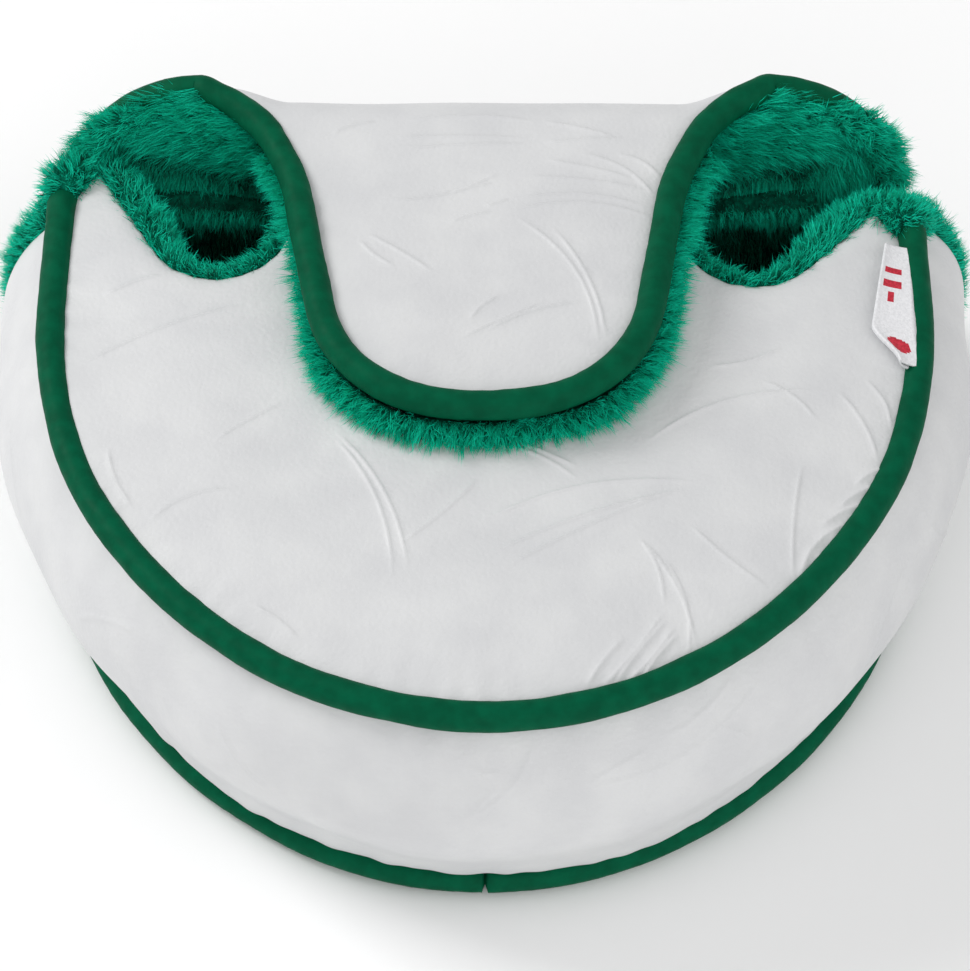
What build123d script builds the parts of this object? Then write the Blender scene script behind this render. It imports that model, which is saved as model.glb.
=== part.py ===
from build123d import *
import os
from math import atan2, degrees, sqrt

# A padded head cover for a half-moon mallet putter, in millimetres.
# The round front faces -Y, the rear wall faces +Y, and the flat bottom rests on z = 0.
# One leather strip makes the bottom, folds up into the rear wall, and folds forward into
# the flap (tongue) that lies over the mouth. A bulging side wall joins the bottom to the
# crescent top panel, and the shaft leaves through the scallop on either side of the tongue.

# ---- Overall sizes ----
overall_width = 136.0
overall_depth = 110.0
seam_height = 41.0          # centre of the upper piping above the table
side_bulge = 9.0            # how far the side wall swells past its seams

# ---- Layers of the walls, outside to inside ----
leather = 1.1
foam = 1.8
plush = 3.0
layer_gap = 0.1             # room between two layers of one wall
fold_gap = 0.3              # room between two bodies at a fold, and under the tongue and tag

# ---- Piping ----
piping_diameter = 4.0
piping_wall = 0.7
seat_gap = 0.05             # between a panel's edge and the tube beside it
butt_gap = 0.4              # where the two ends of the lower tube meet, front centre
lower_piping_height = 2.3

# ---- Outline of the seams in plan, as shares of the overall sizes ----
front_radius = 0.375 * overall_width
corner_radius = 0.4853 * overall_width
side_wall_end = 0.3636 * overall_depth     # y where the side wall and the upper seam stop
foot_half_width = 0.3824 * overall_width   # seam to seam half width at the bottom rear fold
crown = 3.2                 # rise of the top panel over its seam
crown_centre = 0.1091 * overall_depth      # y of the top panel's highest point

# ---- Folds of the strip ----
fold_radius = 7.0

# ---- Tongue in plan, as shares ----
tongue_tip = -0.0173 * overall_depth       # y of the piping's centre at the tip
tip_radius = 0.1603 * overall_width
tongue_waist = 0.186 * overall_width       # half width where the sides begin to flare
waist_place = 0.3064 * overall_depth       # y of that place
neck_half_width = 0.2169 * overall_width   # half width at the top rear fold
tip_blend = 0.2206 * overall_width         # radius where the straight sides flare into the necks

# ---- Ears: the free shoulders of the rear wall ----
ear_half_width = 0.4397 * overall_width
ear_drop = 0.8              # ear piping's centre below the tongue's outside
ear_corner_radius = 0.125 * overall_width

# ---- Scallops of the top panel, as shares ----
scallop_centre_x = 0.2647 * overall_width
scallop_centre_y = 0.3045 * overall_depth
scallop_radius = 0.0735 * overall_width
scallop_mouth_x = 0.4007 * overall_width   # outer corner of the scallop's mouth
scallop_mouth_y = 0.3773 * overall_depth
tab_half_width = 0.1875 * overall_width    # the top panel's middle tab, under the tongue
tab_end = 0.3455 * overall_depth
plush_roll = 2.5            # plush rolled out past the leather's edge

# ---- Hidden closure ----
magnet_diameter = 10.0
magnet_thickness = 1.0
pocket_wall = 0.2
pocket_clearance = 0.1
magnet_spread = 9.0         # half the distance between the two magnets

# ---- Label ----
tag_start = 0.0864 * overall_depth         # y of its two ends
tag_end = 0.2773 * overall_depth
tag_reach = 5.0             # how far it lies over the top panel
tag_ply = 0.35
tag_corner = 0.8

# ---- Worked out from the sizes above ----
magnet_place = tongue_tip + tip_radius / 2      # y of both magnets
cord_diameter = piping_diameter - 2 * (piping_wall + layer_gap)
tube_r = piping_diameter / 2
seam_half_width = overall_width / 2 - side_bulge
seam_front = -(overall_depth / 2 - side_bulge)
wall_seam_y = overall_depth / 2 - tube_r
wall_face = wall_seam_y + leather / 2
foam_depth = leather + layer_gap
plush_depth = foam_depth + foam + layer_gap
wall_depth = plush_depth + plush
top_face = seam_height + leather / 2 + crown
tongue_face = top_face + fold_gap + wall_depth
tongue_seam = tongue_face - leather / 2
ear_top = tongue_face - ear_drop
edge_inset = tube_r + seat_gap
inner_inset = edge_inset + layer_gap
slab_half = 3 * wall_depth    # half the height of a slab that holds every layer of the top
rear_bend = 2 * piping_diameter    # radius of the tubes where they turn into the rear seams
crown_radius = (seam_half_width**2 + crown**2) / (2 * crown)
reach = overall_width       # longer than anything it trims

# The outline's front arc and corner arcs touch where the line of their centres meets them.
front_centre = (0.0, seam_front + front_radius)
corner_x = seam_half_width - corner_radius
corner_shift = sqrt((front_radius - corner_radius) ** 2 - corner_x**2)
corner_centre = (corner_x, front_centre[1] + corner_shift)
touch_share = corner_radius / (corner_radius - front_radius)
arc_touch = (
    corner_centre[0] - corner_x * touch_share,
    corner_centre[1] - corner_shift * touch_share,
)


def mirrored(shape):
    """The shape and its mirror image across the middle plane."""
    return [shape, shape.mirror(Plane.YZ)]


def save(node, shapes):
    """Write one node, from one solid or a list of them."""
    solids = []
    for shape in shapes if isinstance(shapes, list) else [shapes]:
        solids += shape.solids()
    body = solids[0] if len(solids) == 1 else Compound(children=solids)
    export_step(body, f"parts/{node}.step")


# ---------------------------------------------------------------- outlines in plan
def seam_half(end=side_wall_end):
    """Right half of the seam line, from the front centre to the end of the side wall."""
    angle = degrees(atan2(arc_touch[1] - front_centre[1], arc_touch[0]))
    front = CenterArc(front_centre, front_radius, -90, angle + 90)
    corner = CenterArc(corner_centre, corner_radius, angle, -angle)
    side = Line(corner @ 1, (seam_half_width, end))
    return [front, corner, side]


def seam_face():
    """Area inside the upper seam, closed straight across at the rear."""
    right = Wire(seam_half())
    left = right.mirror(Plane.YZ)
    across = Line((seam_half_width, side_wall_end), (-seam_half_width, side_wall_end))
    return make_face(right.edges() + left.edges() + [across])


def bottom_face():
    """Area inside the lower seam: it narrows behind the side wall to the rear fold."""
    past_fold = wall_face + fold_radius
    rear = Polyline(
        (seam_half_width, side_wall_end),
        (foot_half_width, wall_seam_y),
        (foot_half_width, past_fold),
        (-foot_half_width, past_fold),
        (-foot_half_width, wall_seam_y),
        (-seam_half_width, side_wall_end),
    )
    right = Wire(seam_half())
    return make_face(right.edges() + right.mirror(Plane.YZ).edges() + rear.edges())


def tongue_side():
    """Right half of the tongue's seam line, from the tip back past the fold."""
    centre = (0.0, tongue_tip + tip_radius)
    run = sqrt(tongue_waist**2 + (waist_place - centre[1]) ** 2)
    lift = degrees(atan2(waist_place - centre[1], tongue_waist))
    swing = degrees(atan2(tip_radius, sqrt(run**2 - tip_radius**2)))
    tip = CenterArc(centre, tip_radius, -90, 90 + lift - (90 - swing))
    rear = (neck_half_width, wall_face - fold_radius)
    sides = FilletPolyline(tip @ 1, (tongue_waist, waist_place), rear, radius=tip_blend)
    neck = Line(sides @ 1, (neck_half_width, wall_face + fold_radius))
    return [tip] + sides.edges() + [neck]


def tongue_face_area():
    """Area inside the tongue's seam line."""
    right = Wire(tongue_side())
    rear = wall_face + fold_radius
    across = Line((neck_half_width, rear), (-neck_half_width, rear))
    return make_face(right.edges() + right.mirror(Plane.YZ).edges() + [across])


def inset(face, distance):
    """The face with its edge moved inward."""
    return offset(face, -distance, kind=Kind.INTERSECTION)


def notch(roll):
    """One scallop, narrowed by roll on every side, open to the rear."""
    bowl = Pos(scallop_centre_x, scallop_centre_y) * Circle(scallop_radius - roll)
    inner_x = tab_half_width + roll
    rear = wall_face + fold_radius
    mouth = (scallop_mouth_x - roll, scallop_mouth_y)
    corners = Polyline(mouth, (mouth[0], rear), (inner_x, rear), (inner_x, scallop_centre_y), close=True)
    return make_hull(bowl.edges() + corners.edges())


def top_outline(edge, roll):
    """Crescent panel: inside the seam, less the scallops, with the middle tab cut short.

    A positive roll carries the rear edge further out, as plush rolled past the leather.
    """
    crescent = inset(seam_face(), edge)
    tab_cut = Pos(0, tab_end + roll + reach / 2) * Rectangle(2 * tab_half_width, reach)
    for cut in mirrored(notch(roll)) + [tab_cut]:
        crescent = crescent - cut
    return crescent


# ---------------------------------------------------------------- solids from outlines
def prism(face):
    """Upright prism through the whole height."""
    return extrude(Pos(0, 0, -reach) * face, 2 * reach)


def dome(depth):
    """Everything below the crowned surface that lies this deep in the top panel."""
    ball = Rot(90, 0, 0) * Sphere(crown_radius - depth)
    return Pos(0, crown_centre, top_face - crown_radius) * ball


def crowned_layer(face, depth, thickness):
    """A layer of the top panel, curved like its outside."""
    slab = extrude(Pos(0, 0, seam_height - slab_half) * face, 2 * slab_half)
    return (slab & dome(depth)) - dome(depth + thickness)


def strip_line(depth):
    """Side view of the strip at this depth: bottom, fold, rear wall, fold, tongue."""
    r = fold_radius - depth
    low, high = fold_radius, tongue_face - fold_radius
    y = wall_face - fold_radius
    return Wire([
        Line((-reach, depth), (y, depth)),
        CenterArc((y, low), r, -90, 90),
        Line((wall_face - depth, low), (wall_face - depth, high)),
        CenterArc((y, high), r, 0, 90),
        Line((y, tongue_face - depth), (-reach, tongue_face - depth)),
    ])


def strip_layer(depth, thickness):
    """One layer of the whole strip, wider than the cover."""
    outer, inner = strip_line(depth), strip_line(depth + thickness)
    ends = [Line(outer @ 0, inner @ 0), Line(outer @ 1, inner @ 1)]
    side_view = make_face(outer.edges() + inner.edges() + ends)
    return extrude(Plane.YZ * side_view, reach, both=True)


def wedge(*corners):
    """A prism along X with these (y, z) corners."""
    side_view = make_face(Polyline(*corners, close=True))
    return extrude(Plane.YZ * side_view, reach, both=True)


def strip_zone(part):
    """The share of the strip that belongs to the bottom, the wall or the tongue."""
    y = wall_face - fold_radius
    low, high = fold_radius, tongue_face - fold_radius
    shift = fold_gap / sqrt(2)
    if part == "bottom":
        outer = low - shift
        return wedge((y, outer), (y + reach, outer - reach), (-reach, -reach), (-reach, outer))
    if part == "tongue":
        outer = high + shift
        return wedge((y, outer), (y + reach, outer + reach), (-reach, reach), (-reach, outer))
    return wedge((y, low), (y + reach, low - reach), (y + reach, high + reach), (y, high))


# ---------------------------------------------------------------- piping
def tube_section():
    return Circle(tube_r) - Circle(tube_r - piping_wall)


def cord_section():
    return Circle(cord_diameter / 2)


def run_along(section, path):
    """Sweep a section along a wire that starts anywhere."""
    return sweep(Plane(path @ 0, z_dir=path % 0) * section, path=path)


def upper_path():
    right = Wire(seam_half())
    return Pos(0, 0, seam_height) * Wire(right.edges() + right.mirror(Plane.YZ).edges())


def lower_path():
    """Right half of the lower tube, from the butt joint to just short of the rear fold."""
    # The tubes stop short of each fold, so that their ends don't meet when it opens.
    stop = wall_face - fold_radius
    slope = (seam_half_width - foot_half_width) / (wall_seam_y - side_wall_end)
    front, corner, side = seam_half()
    bend = (seam_half_width, side_wall_end)
    end = (seam_half_width - (stop - side_wall_end) * slope, stop)
    rear = FilletPolyline(side @ 0, bend, end, radius=rear_bend)
    whole = Wire([front, corner] + rear.edges())
    return Pos(0, 0, lower_piping_height) * whole.trim(butt_gap / 2 / whole.length, 1)


def tongue_path():
    """Whole tube of the tongue, ending short of the fold on both sides."""
    right = Wire(tongue_side())
    whole = Wire(right.edges() + right.mirror(Plane.YZ).edges())
    spare = 2 * fold_radius
    share = (spare + tube_r) / whole.length
    return Pos(0, 0, tongue_seam) * whole.trim(share, 1 - share)


def ear_path():
    """Right rear tube: along the ear's top, round its corner and down to the bottom fold."""
    start = (neck_half_width + tube_r, ear_top)
    corner = (ear_half_width, ear_top)
    foot = (foot_half_width, fold_radius)
    flat = FilletPolyline(start, corner, foot, radius=ear_corner_radius)
    return Plane(origin=(0, wall_seam_y, 0), x_dir=(1, 0, 0), z_dir=(0, -1, 0)) * Wire(flat.edges())


# ---------------------------------------------------------------- rear wall
def ear_outline(edge):
    """Front view of the rear wall, inside its seam line by edge."""
    half = [
        (0, -fold_radius),
        (foot_half_width, -fold_radius),
        (foot_half_width, fold_radius),
        (ear_half_width, ear_top),
        (0, ear_top),
    ]
    outline = make_face(Polyline(*half, close=True))
    corner = outline.vertices().group_by(Axis.Y)[-1].sort_by(Axis.X)[-1]
    outline = fillet(corner, ear_corner_radius)
    outline = outline + outline.mirror(Plane.YZ)
    return inset(outline, edge)


def block(x_half, z_low, z_high):
    """A box this wide each way, between two heights, longer than the cover in y."""
    return Pos(0, 0, (z_low + z_high) / 2) * Box(2 * x_half, 2 * reach, z_high - z_low)


def rear_wall_layer(edge, depth, thickness):
    """One layer of the rear wall: the folded middle, and the flat ears beside it."""
    outline = extrude(Plane.XZ * ear_outline(edge), reach, both=True)
    top_fold = tongue_face - fold_radius
    folded = strip_layer(depth, thickness) & strip_zone("wall")
    low_part = folded & block(reach, -reach, top_fold)
    middle = folded & block(neck_half_width - edge, fold_radius, reach)
    flat = Pos(0, wall_face - depth - thickness / 2, 0) * Box(2 * reach, thickness, 2 * reach)
    beside = block(reach, fold_radius, reach) - block(neck_half_width + edge, top_fold, 2 * reach)
    return ((low_part + (flat & beside)) & outline) + middle


# ---------------------------------------------------------------- side wall
def side_wall_layer(depth, thickness, low, high, end=side_wall_end):
    """A bulging band between two heights, swept round the seam line to its end."""
    half_chord = (seam_height - tube_r - lower_piping_height - tube_r) / 2 - layer_gap
    middle = (seam_height + lower_piping_height) / 2
    root = leather / 2
    sag = side_bulge - root
    radius = (half_chord**2 + sag**2) / (2 * sag)
    centre = (side_bulge - radius, middle)
    ring = Circle(radius - depth) - Circle(radius - depth - thickness)
    window = Pos(side_bulge, (low + high) / 2) * Rectangle(2 * side_bulge + 2 * wall_depth, high - low)
    section = (Pos(*centre) * ring) & window
    right = Wire(seam_half(end))
    path = Wire(right.edges() + right.mirror(Plane.YZ).edges())
    start = Plane(origin=(seam_half_width, end, 0), x_dir=(1, 0, 0), z_dir=(0, -1, 0))
    return sweep(start * section, path=path)


# ---------------------------------------------------------------- magnets
def magnet(z):
    disc = Cylinder(magnet_diameter / 2, magnet_thickness)
    return Pos(magnet_spread, magnet_place, z) * disc


def pocket(z):
    """Cup that holds one magnet, open upward."""
    inside = magnet_diameter / 2 + pocket_clearance
    height = magnet_thickness + pocket_wall + pocket_clearance
    cup = Cylinder(inside + pocket_wall, height)
    room = Pos(0, 0, pocket_wall) * Cylinder(inside, height)
    return Pos(magnet_spread, magnet_place, z) * (cup - room)


def pocket_holes():
    """Round windows in the foam where the pockets sit."""
    inside = magnet_diameter / 2 + 2 * pocket_clearance + pocket_wall
    hole = Pos(magnet_spread, magnet_place, 0) * Cylinder(inside, 2 * reach)
    return mirrored(hole)


def cut_pocket_holes(sheet):
    for hole in pocket_holes():
        sheet = sheet - hole
    return sheet


# ---------------------------------------------------------------- the pieces
def make_bottom():
    zone = strip_zone("bottom")
    shell = prism(inset(bottom_face(), edge_inset))
    inner = prism(inset(bottom_face(), inner_inset + leather))
    save("bottom_shell", strip_layer(0, leather) & zone & shell)
    save("bottom_padding", strip_layer(foam_depth, foam) & zone & inner)
    save("bottom_lining", strip_layer(plush_depth, plush) & zone & inner)


def make_side_wall():
    low = lower_piping_height + tube_r + layer_gap
    high = seam_height - tube_r - layer_gap
    inner_low = wall_depth + layer_gap
    inner_high = seam_height - wall_depth
    save("side_wall_shell", side_wall_layer(0, leather, low, high))
    save("side_wall_padding", side_wall_layer(foam_depth, foam, inner_low, inner_high))
    rolled_out = side_wall_end + plush_roll
    save("side_wall_lining", side_wall_layer(plush_depth, plush, inner_low, inner_high, rolled_out))


def make_top():
    shell = top_outline(edge_inset, 0)
    foam_area = top_outline(inner_inset, -layer_gap)
    plush_area = top_outline(inner_inset, plush_roll)
    save("top_shell", crowned_layer(shell, 0, leather))
    save("top_padding", cut_pocket_holes(crowned_layer(foam_area, foam_depth, foam)))
    save("top_lining", crowned_layer(plush_area, plush_depth, plush))
    level = top_face - foam_depth - foam / 2
    save("top_magnet_pockets", mirrored(pocket(level)))
    save("top_magnets", mirrored(magnet(level + pocket_wall / 2)))


def make_rear_wall():
    save("rear_wall_shell", rear_wall_layer(edge_inset, 0, leather))
    save("rear_wall_padding", rear_wall_layer(inner_inset, foam_depth, foam))
    save("rear_wall_lining", rear_wall_layer(inner_inset, plush_depth, plush))
    for side, path in zip(("right", "left"), mirrored(ear_path())):
        save(f"rear_piping_cover_{side}", run_along(tube_section(), path))
        save(f"rear_piping_cord_{side}", run_along(cord_section(), path))


def make_tongue():
    zone = strip_zone("tongue")
    shell = prism(inset(tongue_face_area(), edge_inset))
    inner = prism(inset(tongue_face_area(), inner_inset))
    under = prism(tongue_face_area())
    save("tongue_shell", strip_layer(0, leather) & zone & shell)
    padding = strip_layer(foam_depth, foam) & zone & inner
    save("tongue_padding", cut_pocket_holes(padding))
    save("tongue_lining", strip_layer(plush_depth, plush) & zone & under)
    level = tongue_face - foam_depth - foam / 2
    save("tongue_magnet_pockets", mirrored(pocket(level)))
    save("tongue_magnets", mirrored(magnet(level + pocket_wall / 2)))
    path = tongue_path()
    save("tongue_piping_cover", run_along(tube_section(), path))
    save("tongue_piping_cord", run_along(cord_section(), path))


def make_seams():
    path = upper_path()
    save("upper_piping_cover", run_along(tube_section(), path))
    save("upper_piping_cord", run_along(cord_section(), path))
    halves = mirrored(lower_path())
    save("lower_piping_cover", [run_along(tube_section(), half) for half in halves])
    save("lower_piping_cord", [run_along(cord_section(), half) for half in halves])


def make_tag():
    """Folded label lying over the top panel, its root beside the upper tube where that begins to curve."""
    curved = max(corner_centre[1] - tag_start, 0)
    drift = corner_radius - sqrt(corner_radius**2 - curved**2)
    root = seam_half_width - edge_inset - drift
    middle = (tag_start + tag_end) / 2
    drop = ((root - tag_reach / 2) ** 2 + (middle - crown_centre) ** 2) / (2 * crown_radius)
    under = top_face - drop + 2 * fold_gap
    label = Box(tag_reach, tag_end - tag_start, 2 * tag_ply)
    label = fillet(label.edges().filter_by(Axis.Z).group_by(Axis.X)[0], tag_corner)
    save("side_tag", Pos(root - tag_reach / 2, middle, under + tag_ply) * label)


if __name__ == "__main__":
    os.makedirs("parts", exist_ok=True)
    make_bottom()
    make_side_wall()
    make_top()
    make_rear_wall()
    make_tongue()
    make_seams()
    make_tag()
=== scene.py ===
# %% [markdown]
# # A plush-lined head cover for a mallet putter
# The cover is cut from white embossed leather, lined with long green plush, and its seams hold a
# green tube called piping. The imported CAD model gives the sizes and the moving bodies. This lesson
# sews the soft skins over it: first the outlines, then leather, piping, plush and the label.

# %% Load the frame
import math

import bpy
import numpy as np
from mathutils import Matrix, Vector
from mathutils.geometry import delaunay_2d_cdt
from mathutils.kdtree import KDTree


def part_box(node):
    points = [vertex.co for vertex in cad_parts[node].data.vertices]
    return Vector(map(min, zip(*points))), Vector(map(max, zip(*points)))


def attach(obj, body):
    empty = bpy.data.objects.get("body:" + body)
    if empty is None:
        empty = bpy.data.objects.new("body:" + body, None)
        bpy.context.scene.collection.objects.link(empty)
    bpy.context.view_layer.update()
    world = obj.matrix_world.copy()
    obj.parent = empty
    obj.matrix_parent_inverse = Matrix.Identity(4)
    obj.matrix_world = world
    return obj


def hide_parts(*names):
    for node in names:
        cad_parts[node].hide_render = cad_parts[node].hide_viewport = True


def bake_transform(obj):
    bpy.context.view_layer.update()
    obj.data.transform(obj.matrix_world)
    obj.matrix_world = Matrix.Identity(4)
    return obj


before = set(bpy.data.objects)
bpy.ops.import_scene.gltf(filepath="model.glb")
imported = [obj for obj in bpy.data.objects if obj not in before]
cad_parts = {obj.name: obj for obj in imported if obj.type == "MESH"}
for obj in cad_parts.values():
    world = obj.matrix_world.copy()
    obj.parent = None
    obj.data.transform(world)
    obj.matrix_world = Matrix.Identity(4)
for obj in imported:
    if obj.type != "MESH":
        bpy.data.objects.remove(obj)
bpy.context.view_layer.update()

MM = 0.001
SIDES = ((1, "right"), (-1, "left"))

# %% [markdown]
# ## Sizes
# The seams are sewn lines, so the leather, the piping and the plush all follow the same few
# curves. Reading the sizes from the frame keeps the skins on the CAD parts if a size changes.

# %% Read the sizes from the frame
def box_mm(node):
    """Lowest and highest corner of a CAD node, in millimetres."""
    low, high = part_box(node)
    return np.array(low) / MM, np.array(high) / MM


upper_low, upper_high = box_mm("upper_piping_cover")
lower_low, lower_high = box_mm("lower_piping_cover")
tube_r = (upper_high[2] - upper_low[2]) / 2
seam_height = (upper_high[2] + upper_low[2]) / 2
low_seam_height = (lower_high[2] + lower_low[2]) / 2
seam_half = upper_high[0] - tube_r
seam_front = upper_low[1] + tube_r
seam_end = upper_high[1]
bulge = box_mm("side_wall_shell")[1][0] - seam_half
top_face = box_mm("top_shell")[1][2]
wall_face = box_mm("rear_wall_shell")[1][1]
tongue_face = box_mm("tongue_shell")[1][2]
tongue_tip = box_mm("tongue_piping_cover")[0][1] + tube_r
ear_half = box_mm("rear_piping_cover_right")[1][0] - tube_r
ear_top = box_mm("rear_piping_cover_right")[1][2] - tube_r
lining_top = box_mm("tongue_lining")[1][2]
foot_half = 52.0
fold_r = 7.0
leather = 1.0
print("seam half width", seam_half, "seam height", seam_height, "tongue", tongue_face)

# %% [markdown]
# ## Lines
# A sewn outline is a chain of arcs and straights. It is kept as points a fixed step apart,
# because evenly spaced points give even triangles and even tufts later.

# %% Helpers for lines
def arc(centre, radius, start, stop, step=0.4):
    """Points on an arc, angles in degrees."""
    count = max(2, int(abs(math.radians(stop - start)) * radius / step))
    angle = np.radians(np.linspace(start, stop, count))
    return np.column_stack([centre[0] + radius * np.cos(angle), centre[1] + radius * np.sin(angle)])


def even(points, step):
    """The same line with points this far apart."""
    points = np.asarray(points, float)
    run = np.concatenate([[0], np.cumsum(np.linalg.norm(np.diff(points, axis=0), axis=1))])
    keep = np.concatenate([[True], np.diff(run) > 1e-9])
    run, points = run[keep], points[keep]
    marks = np.linspace(0, run[-1], max(2, int(round(run[-1] / step)) + 1))
    return np.column_stack([np.interp(marks, run, column) for column in points.T])


def soften(points, size, step=0.4):
    """Round the corners of an open line, as cloth does, and keep its two ends."""
    line = even(points, step)
    reach = int(3 * size / step)
    weight = np.exp(-0.5 * (np.arange(-reach, reach + 1) * step / size) ** 2)
    weight /= weight.sum()
    before = 2 * line[0] - line[reach:0:-1]
    after = 2 * line[-1] - line[-2:-reach - 2:-1]
    padded = np.vstack([before, line, after])
    return np.column_stack([np.convolve(column, weight, "valid") for column in padded.T])


def directions(line):
    """Unit tangents along a line."""
    tangent = np.gradient(line, axis=0)
    return tangent / np.linalg.norm(tangent, axis=1)[:, None]


def both_sides(right):
    """A line from the middle, joined to its mirror image: left end first."""
    left = right[::-1] * [-1, 1]
    return np.vstack([left[:-1], right])


def nearest(line, points):
    """Index of, and distance to, the nearest point of a line, for every point."""
    tree = KDTree(len(line))
    for i, p in enumerate(line):
        tree.insert((p[0], p[1], 0), i)
    tree.balance()
    found = [tree.find((p[0], p[1], 0)) for p in points]
    return np.array([f[1] for f in found]), np.array([f[2] for f in found])


# %% [markdown]
# ## The seam line
# Top panel, side wall and bottom are all sewn to one line, seen from above as a half-moon. Three
# tangent parts draw it: a front arc, a flatter shoulder arc and a short straight side. Arcs are
# easier to adjust than a free curve, and they meet without a kink.

# %% The seam round the top and the bottom
def seam_right(end):
    """Right half of the seam in plan: a front arc, a flatter shoulder, a straight side."""
    front_r, corner_r = 51.0, 66.0
    corner = np.array([seam_half - corner_r, 0])
    front = np.array([0, seam_front + front_r])
    corner[1] = front[1] + math.sqrt((front_r - corner_r) ** 2 - corner[0] ** 2)
    touch = math.degrees(math.atan2(front[1] - corner[1], -corner[0]))
    parts = [arc(front, front_r, -90, touch), arc(corner, corner_r, touch, 0)]
    return np.vstack(parts + [[[seam_half, end]]])


seam = even(both_sides(seam_right(seam_end)), 0.4)
print("seam length in mm:", round(0.4 * (len(seam) - 1)))

# %% [markdown]
# ## The scalloped rear edge
# The putter's shaft leaves beside the tongue, so the top panel is cut back in a scallop on either
# side of a middle tab. A real cover is soft and not quite even, so each side gets its own scallop
# and tip. The corners are rounded afterwards, as a turned edge is.

# %% The scalloped rear edge of the top panel
def rear_edge_half(centre, tip, end):
    """One half of the edge: the tab under the tongue, the scallop, the corner tip."""
    radius = 10.0
    centre, tip = np.array(centre), np.array(tip)
    out = tip - centre
    turn = math.degrees(math.atan2(out[1], out[0]) - math.acos(radius / np.linalg.norm(out)))
    bowl = arc(centre, radius, 180, 360 + turn)
    tab = [[0, 38.0], [20.0, 38.0], [25.5, 36.0]]
    return np.vstack([tab, bowl, [tip], [end]])


edge_right = rear_edge_half((36.5, 33.0), (55.0, 39.5), (seam_half - 0.4, 34.0))
edge_left = rear_edge_half((36.5, 34.3), (55.0, 48.0), (seam_half - 0.4, 41.5))
rear_edge = soften(np.vstack([edge_left[::-1] * [-1, 1], edge_right[1:]]), 1.4)
print("rear edge length in mm:", round(0.4 * (len(rear_edge) - 1)))

# %% [markdown]
# ## The strip
# The bottom, the rear wall and the tongue are one long piece of leather, folded twice. It is
# easiest to draw flat, as x across and u along, and then to fold. u is 0 where the wall leaves
# the lower fold, grows up the wall and over the upper fold to the tongue's tip, and is negative
# under the cover. Beside the tongue the upper fold gets tighter, so the ears stand up.

# %% Fold the flat strip
quarter = math.pi / 2


def upper_fold(x):
    """Radius of the upper fold: full behind the tongue, tight at the ears."""
    share = np.clip((np.abs(x) - 27.0) / 9.0, 0, 1)
    return fold_r - (fold_r - 1.2) * share * share * (3 - 2 * share)


def strip_surface(x, u):
    """Place and outward normal of the strip's outer face."""
    x, u = np.asarray(x, float), np.asarray(u, float)
    r = upper_fold(x)
    straight = tongue_face - r - fold_r
    y = np.full_like(u, wall_face)
    z = u + fold_r
    ny, nz = np.ones_like(u), np.zeros_like(u)
    low = u < 0
    angle = np.minimum(-u / fold_r, quarter)
    past = np.maximum(-u - quarter * fold_r, 0)
    y = np.where(low, wall_face - fold_r + fold_r * np.cos(angle) - past, y)
    z = np.where(low, fold_r - fold_r * np.sin(angle), z)
    ny, nz = np.where(low, np.cos(angle), ny), np.where(low, -np.sin(angle), nz)
    high = u > straight
    angle = np.minimum((u - straight) / r, quarter)
    past = np.maximum(u - straight - quarter * r, 0)
    y = np.where(high, wall_face - r + r * np.cos(angle) - past, y)
    z = np.where(high, tongue_face - r + r * np.sin(angle), z)
    ny, nz = np.where(high, np.cos(angle), ny), np.where(high, np.sin(angle), nz)
    return np.column_stack([x, y, z]), np.column_stack([np.zeros_like(u), ny, nz])


fold_end = tongue_face - 2 * fold_r + quarter * fold_r


def tongue_u(y):
    """Strip coordinate of a place on the tongue."""
    return fold_end + wall_face - fold_r - y


def bottom_u(y):
    """Strip coordinate of a place on the bottom."""
    return -quarter * fold_r - (wall_face - fold_r - y)


print("strip runs from u", round(bottom_u(seam_front)), "to", round(tongue_u(tongue_tip)), "mm")

# %% [markdown]
# ## The strip's outline
# Tongue, necks, ears, wall edges and bottom make one closed line on the flat strip. Half of it is
# drawn, from the tongue's tip to the front of the bottom, and mirrored later. The tip is a little
# squarer than a circle, and each neck flares into its ear in one sweep.

# %% Outline of the flat strip
def strip_right():
    """Right half of the strip's seam line, from the tongue's tip to the front of the bottom."""
    tip_r, lowest = 22.6, tongue_tip - 1.3
    turn = arc((0, 0), 1.0, -90, -8, 0.02)
    tip = np.sign(turn) * np.abs(turn) ** 0.87 * tip_r + [0, lowest + tip_r]
    side = np.array([[24.2, 25.5], [25.6, 33.9], [27.0, 38.5], [28.5, 41.6], [30.2, 44.8]])
    tongue = np.vstack([tip, side])
    tongue = np.column_stack([tongue[:, 0], tongue_u(tongue[:, 1])])
    top = ear_top - fold_r
    neck = [[32.6, top + 5.2], [36.0, top + 3.2], [40.0, top + 0.9]]
    corner_r = 17.0
    ear = arc((ear_half - corner_r - 0.9, top - corner_r), corner_r, 90, 8)
    wall = [[foot_half, 2.0], [foot_half, -quarter * fold_r]]
    seam_part = seam_right(seam_end)[::-1]
    bottom = np.column_stack([seam_part[:, 0], bottom_u(seam_part[:, 1])])
    bottom[0] = [seam_half, bottom_u(seam_end)]
    upper = soften(np.vstack([tongue, neck, ear, wall, bottom[:1]]), 1.5)
    return np.vstack([upper, bottom[1:]])


strip_line = even(strip_right(), 0.4)
print("half outline of the strip in mm:", round(0.4 * (len(strip_line) - 1)))

# %% [markdown]
# ## Finishes
# Each cloth gets its own procedural material. Leather is a plastic skin pressed with a pebble
# grain, so its grain is a bump made of small cells and its colour hardly changes. Plush is many
# separate fibres, so it takes its look from real strands in a few plain greens.

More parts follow.
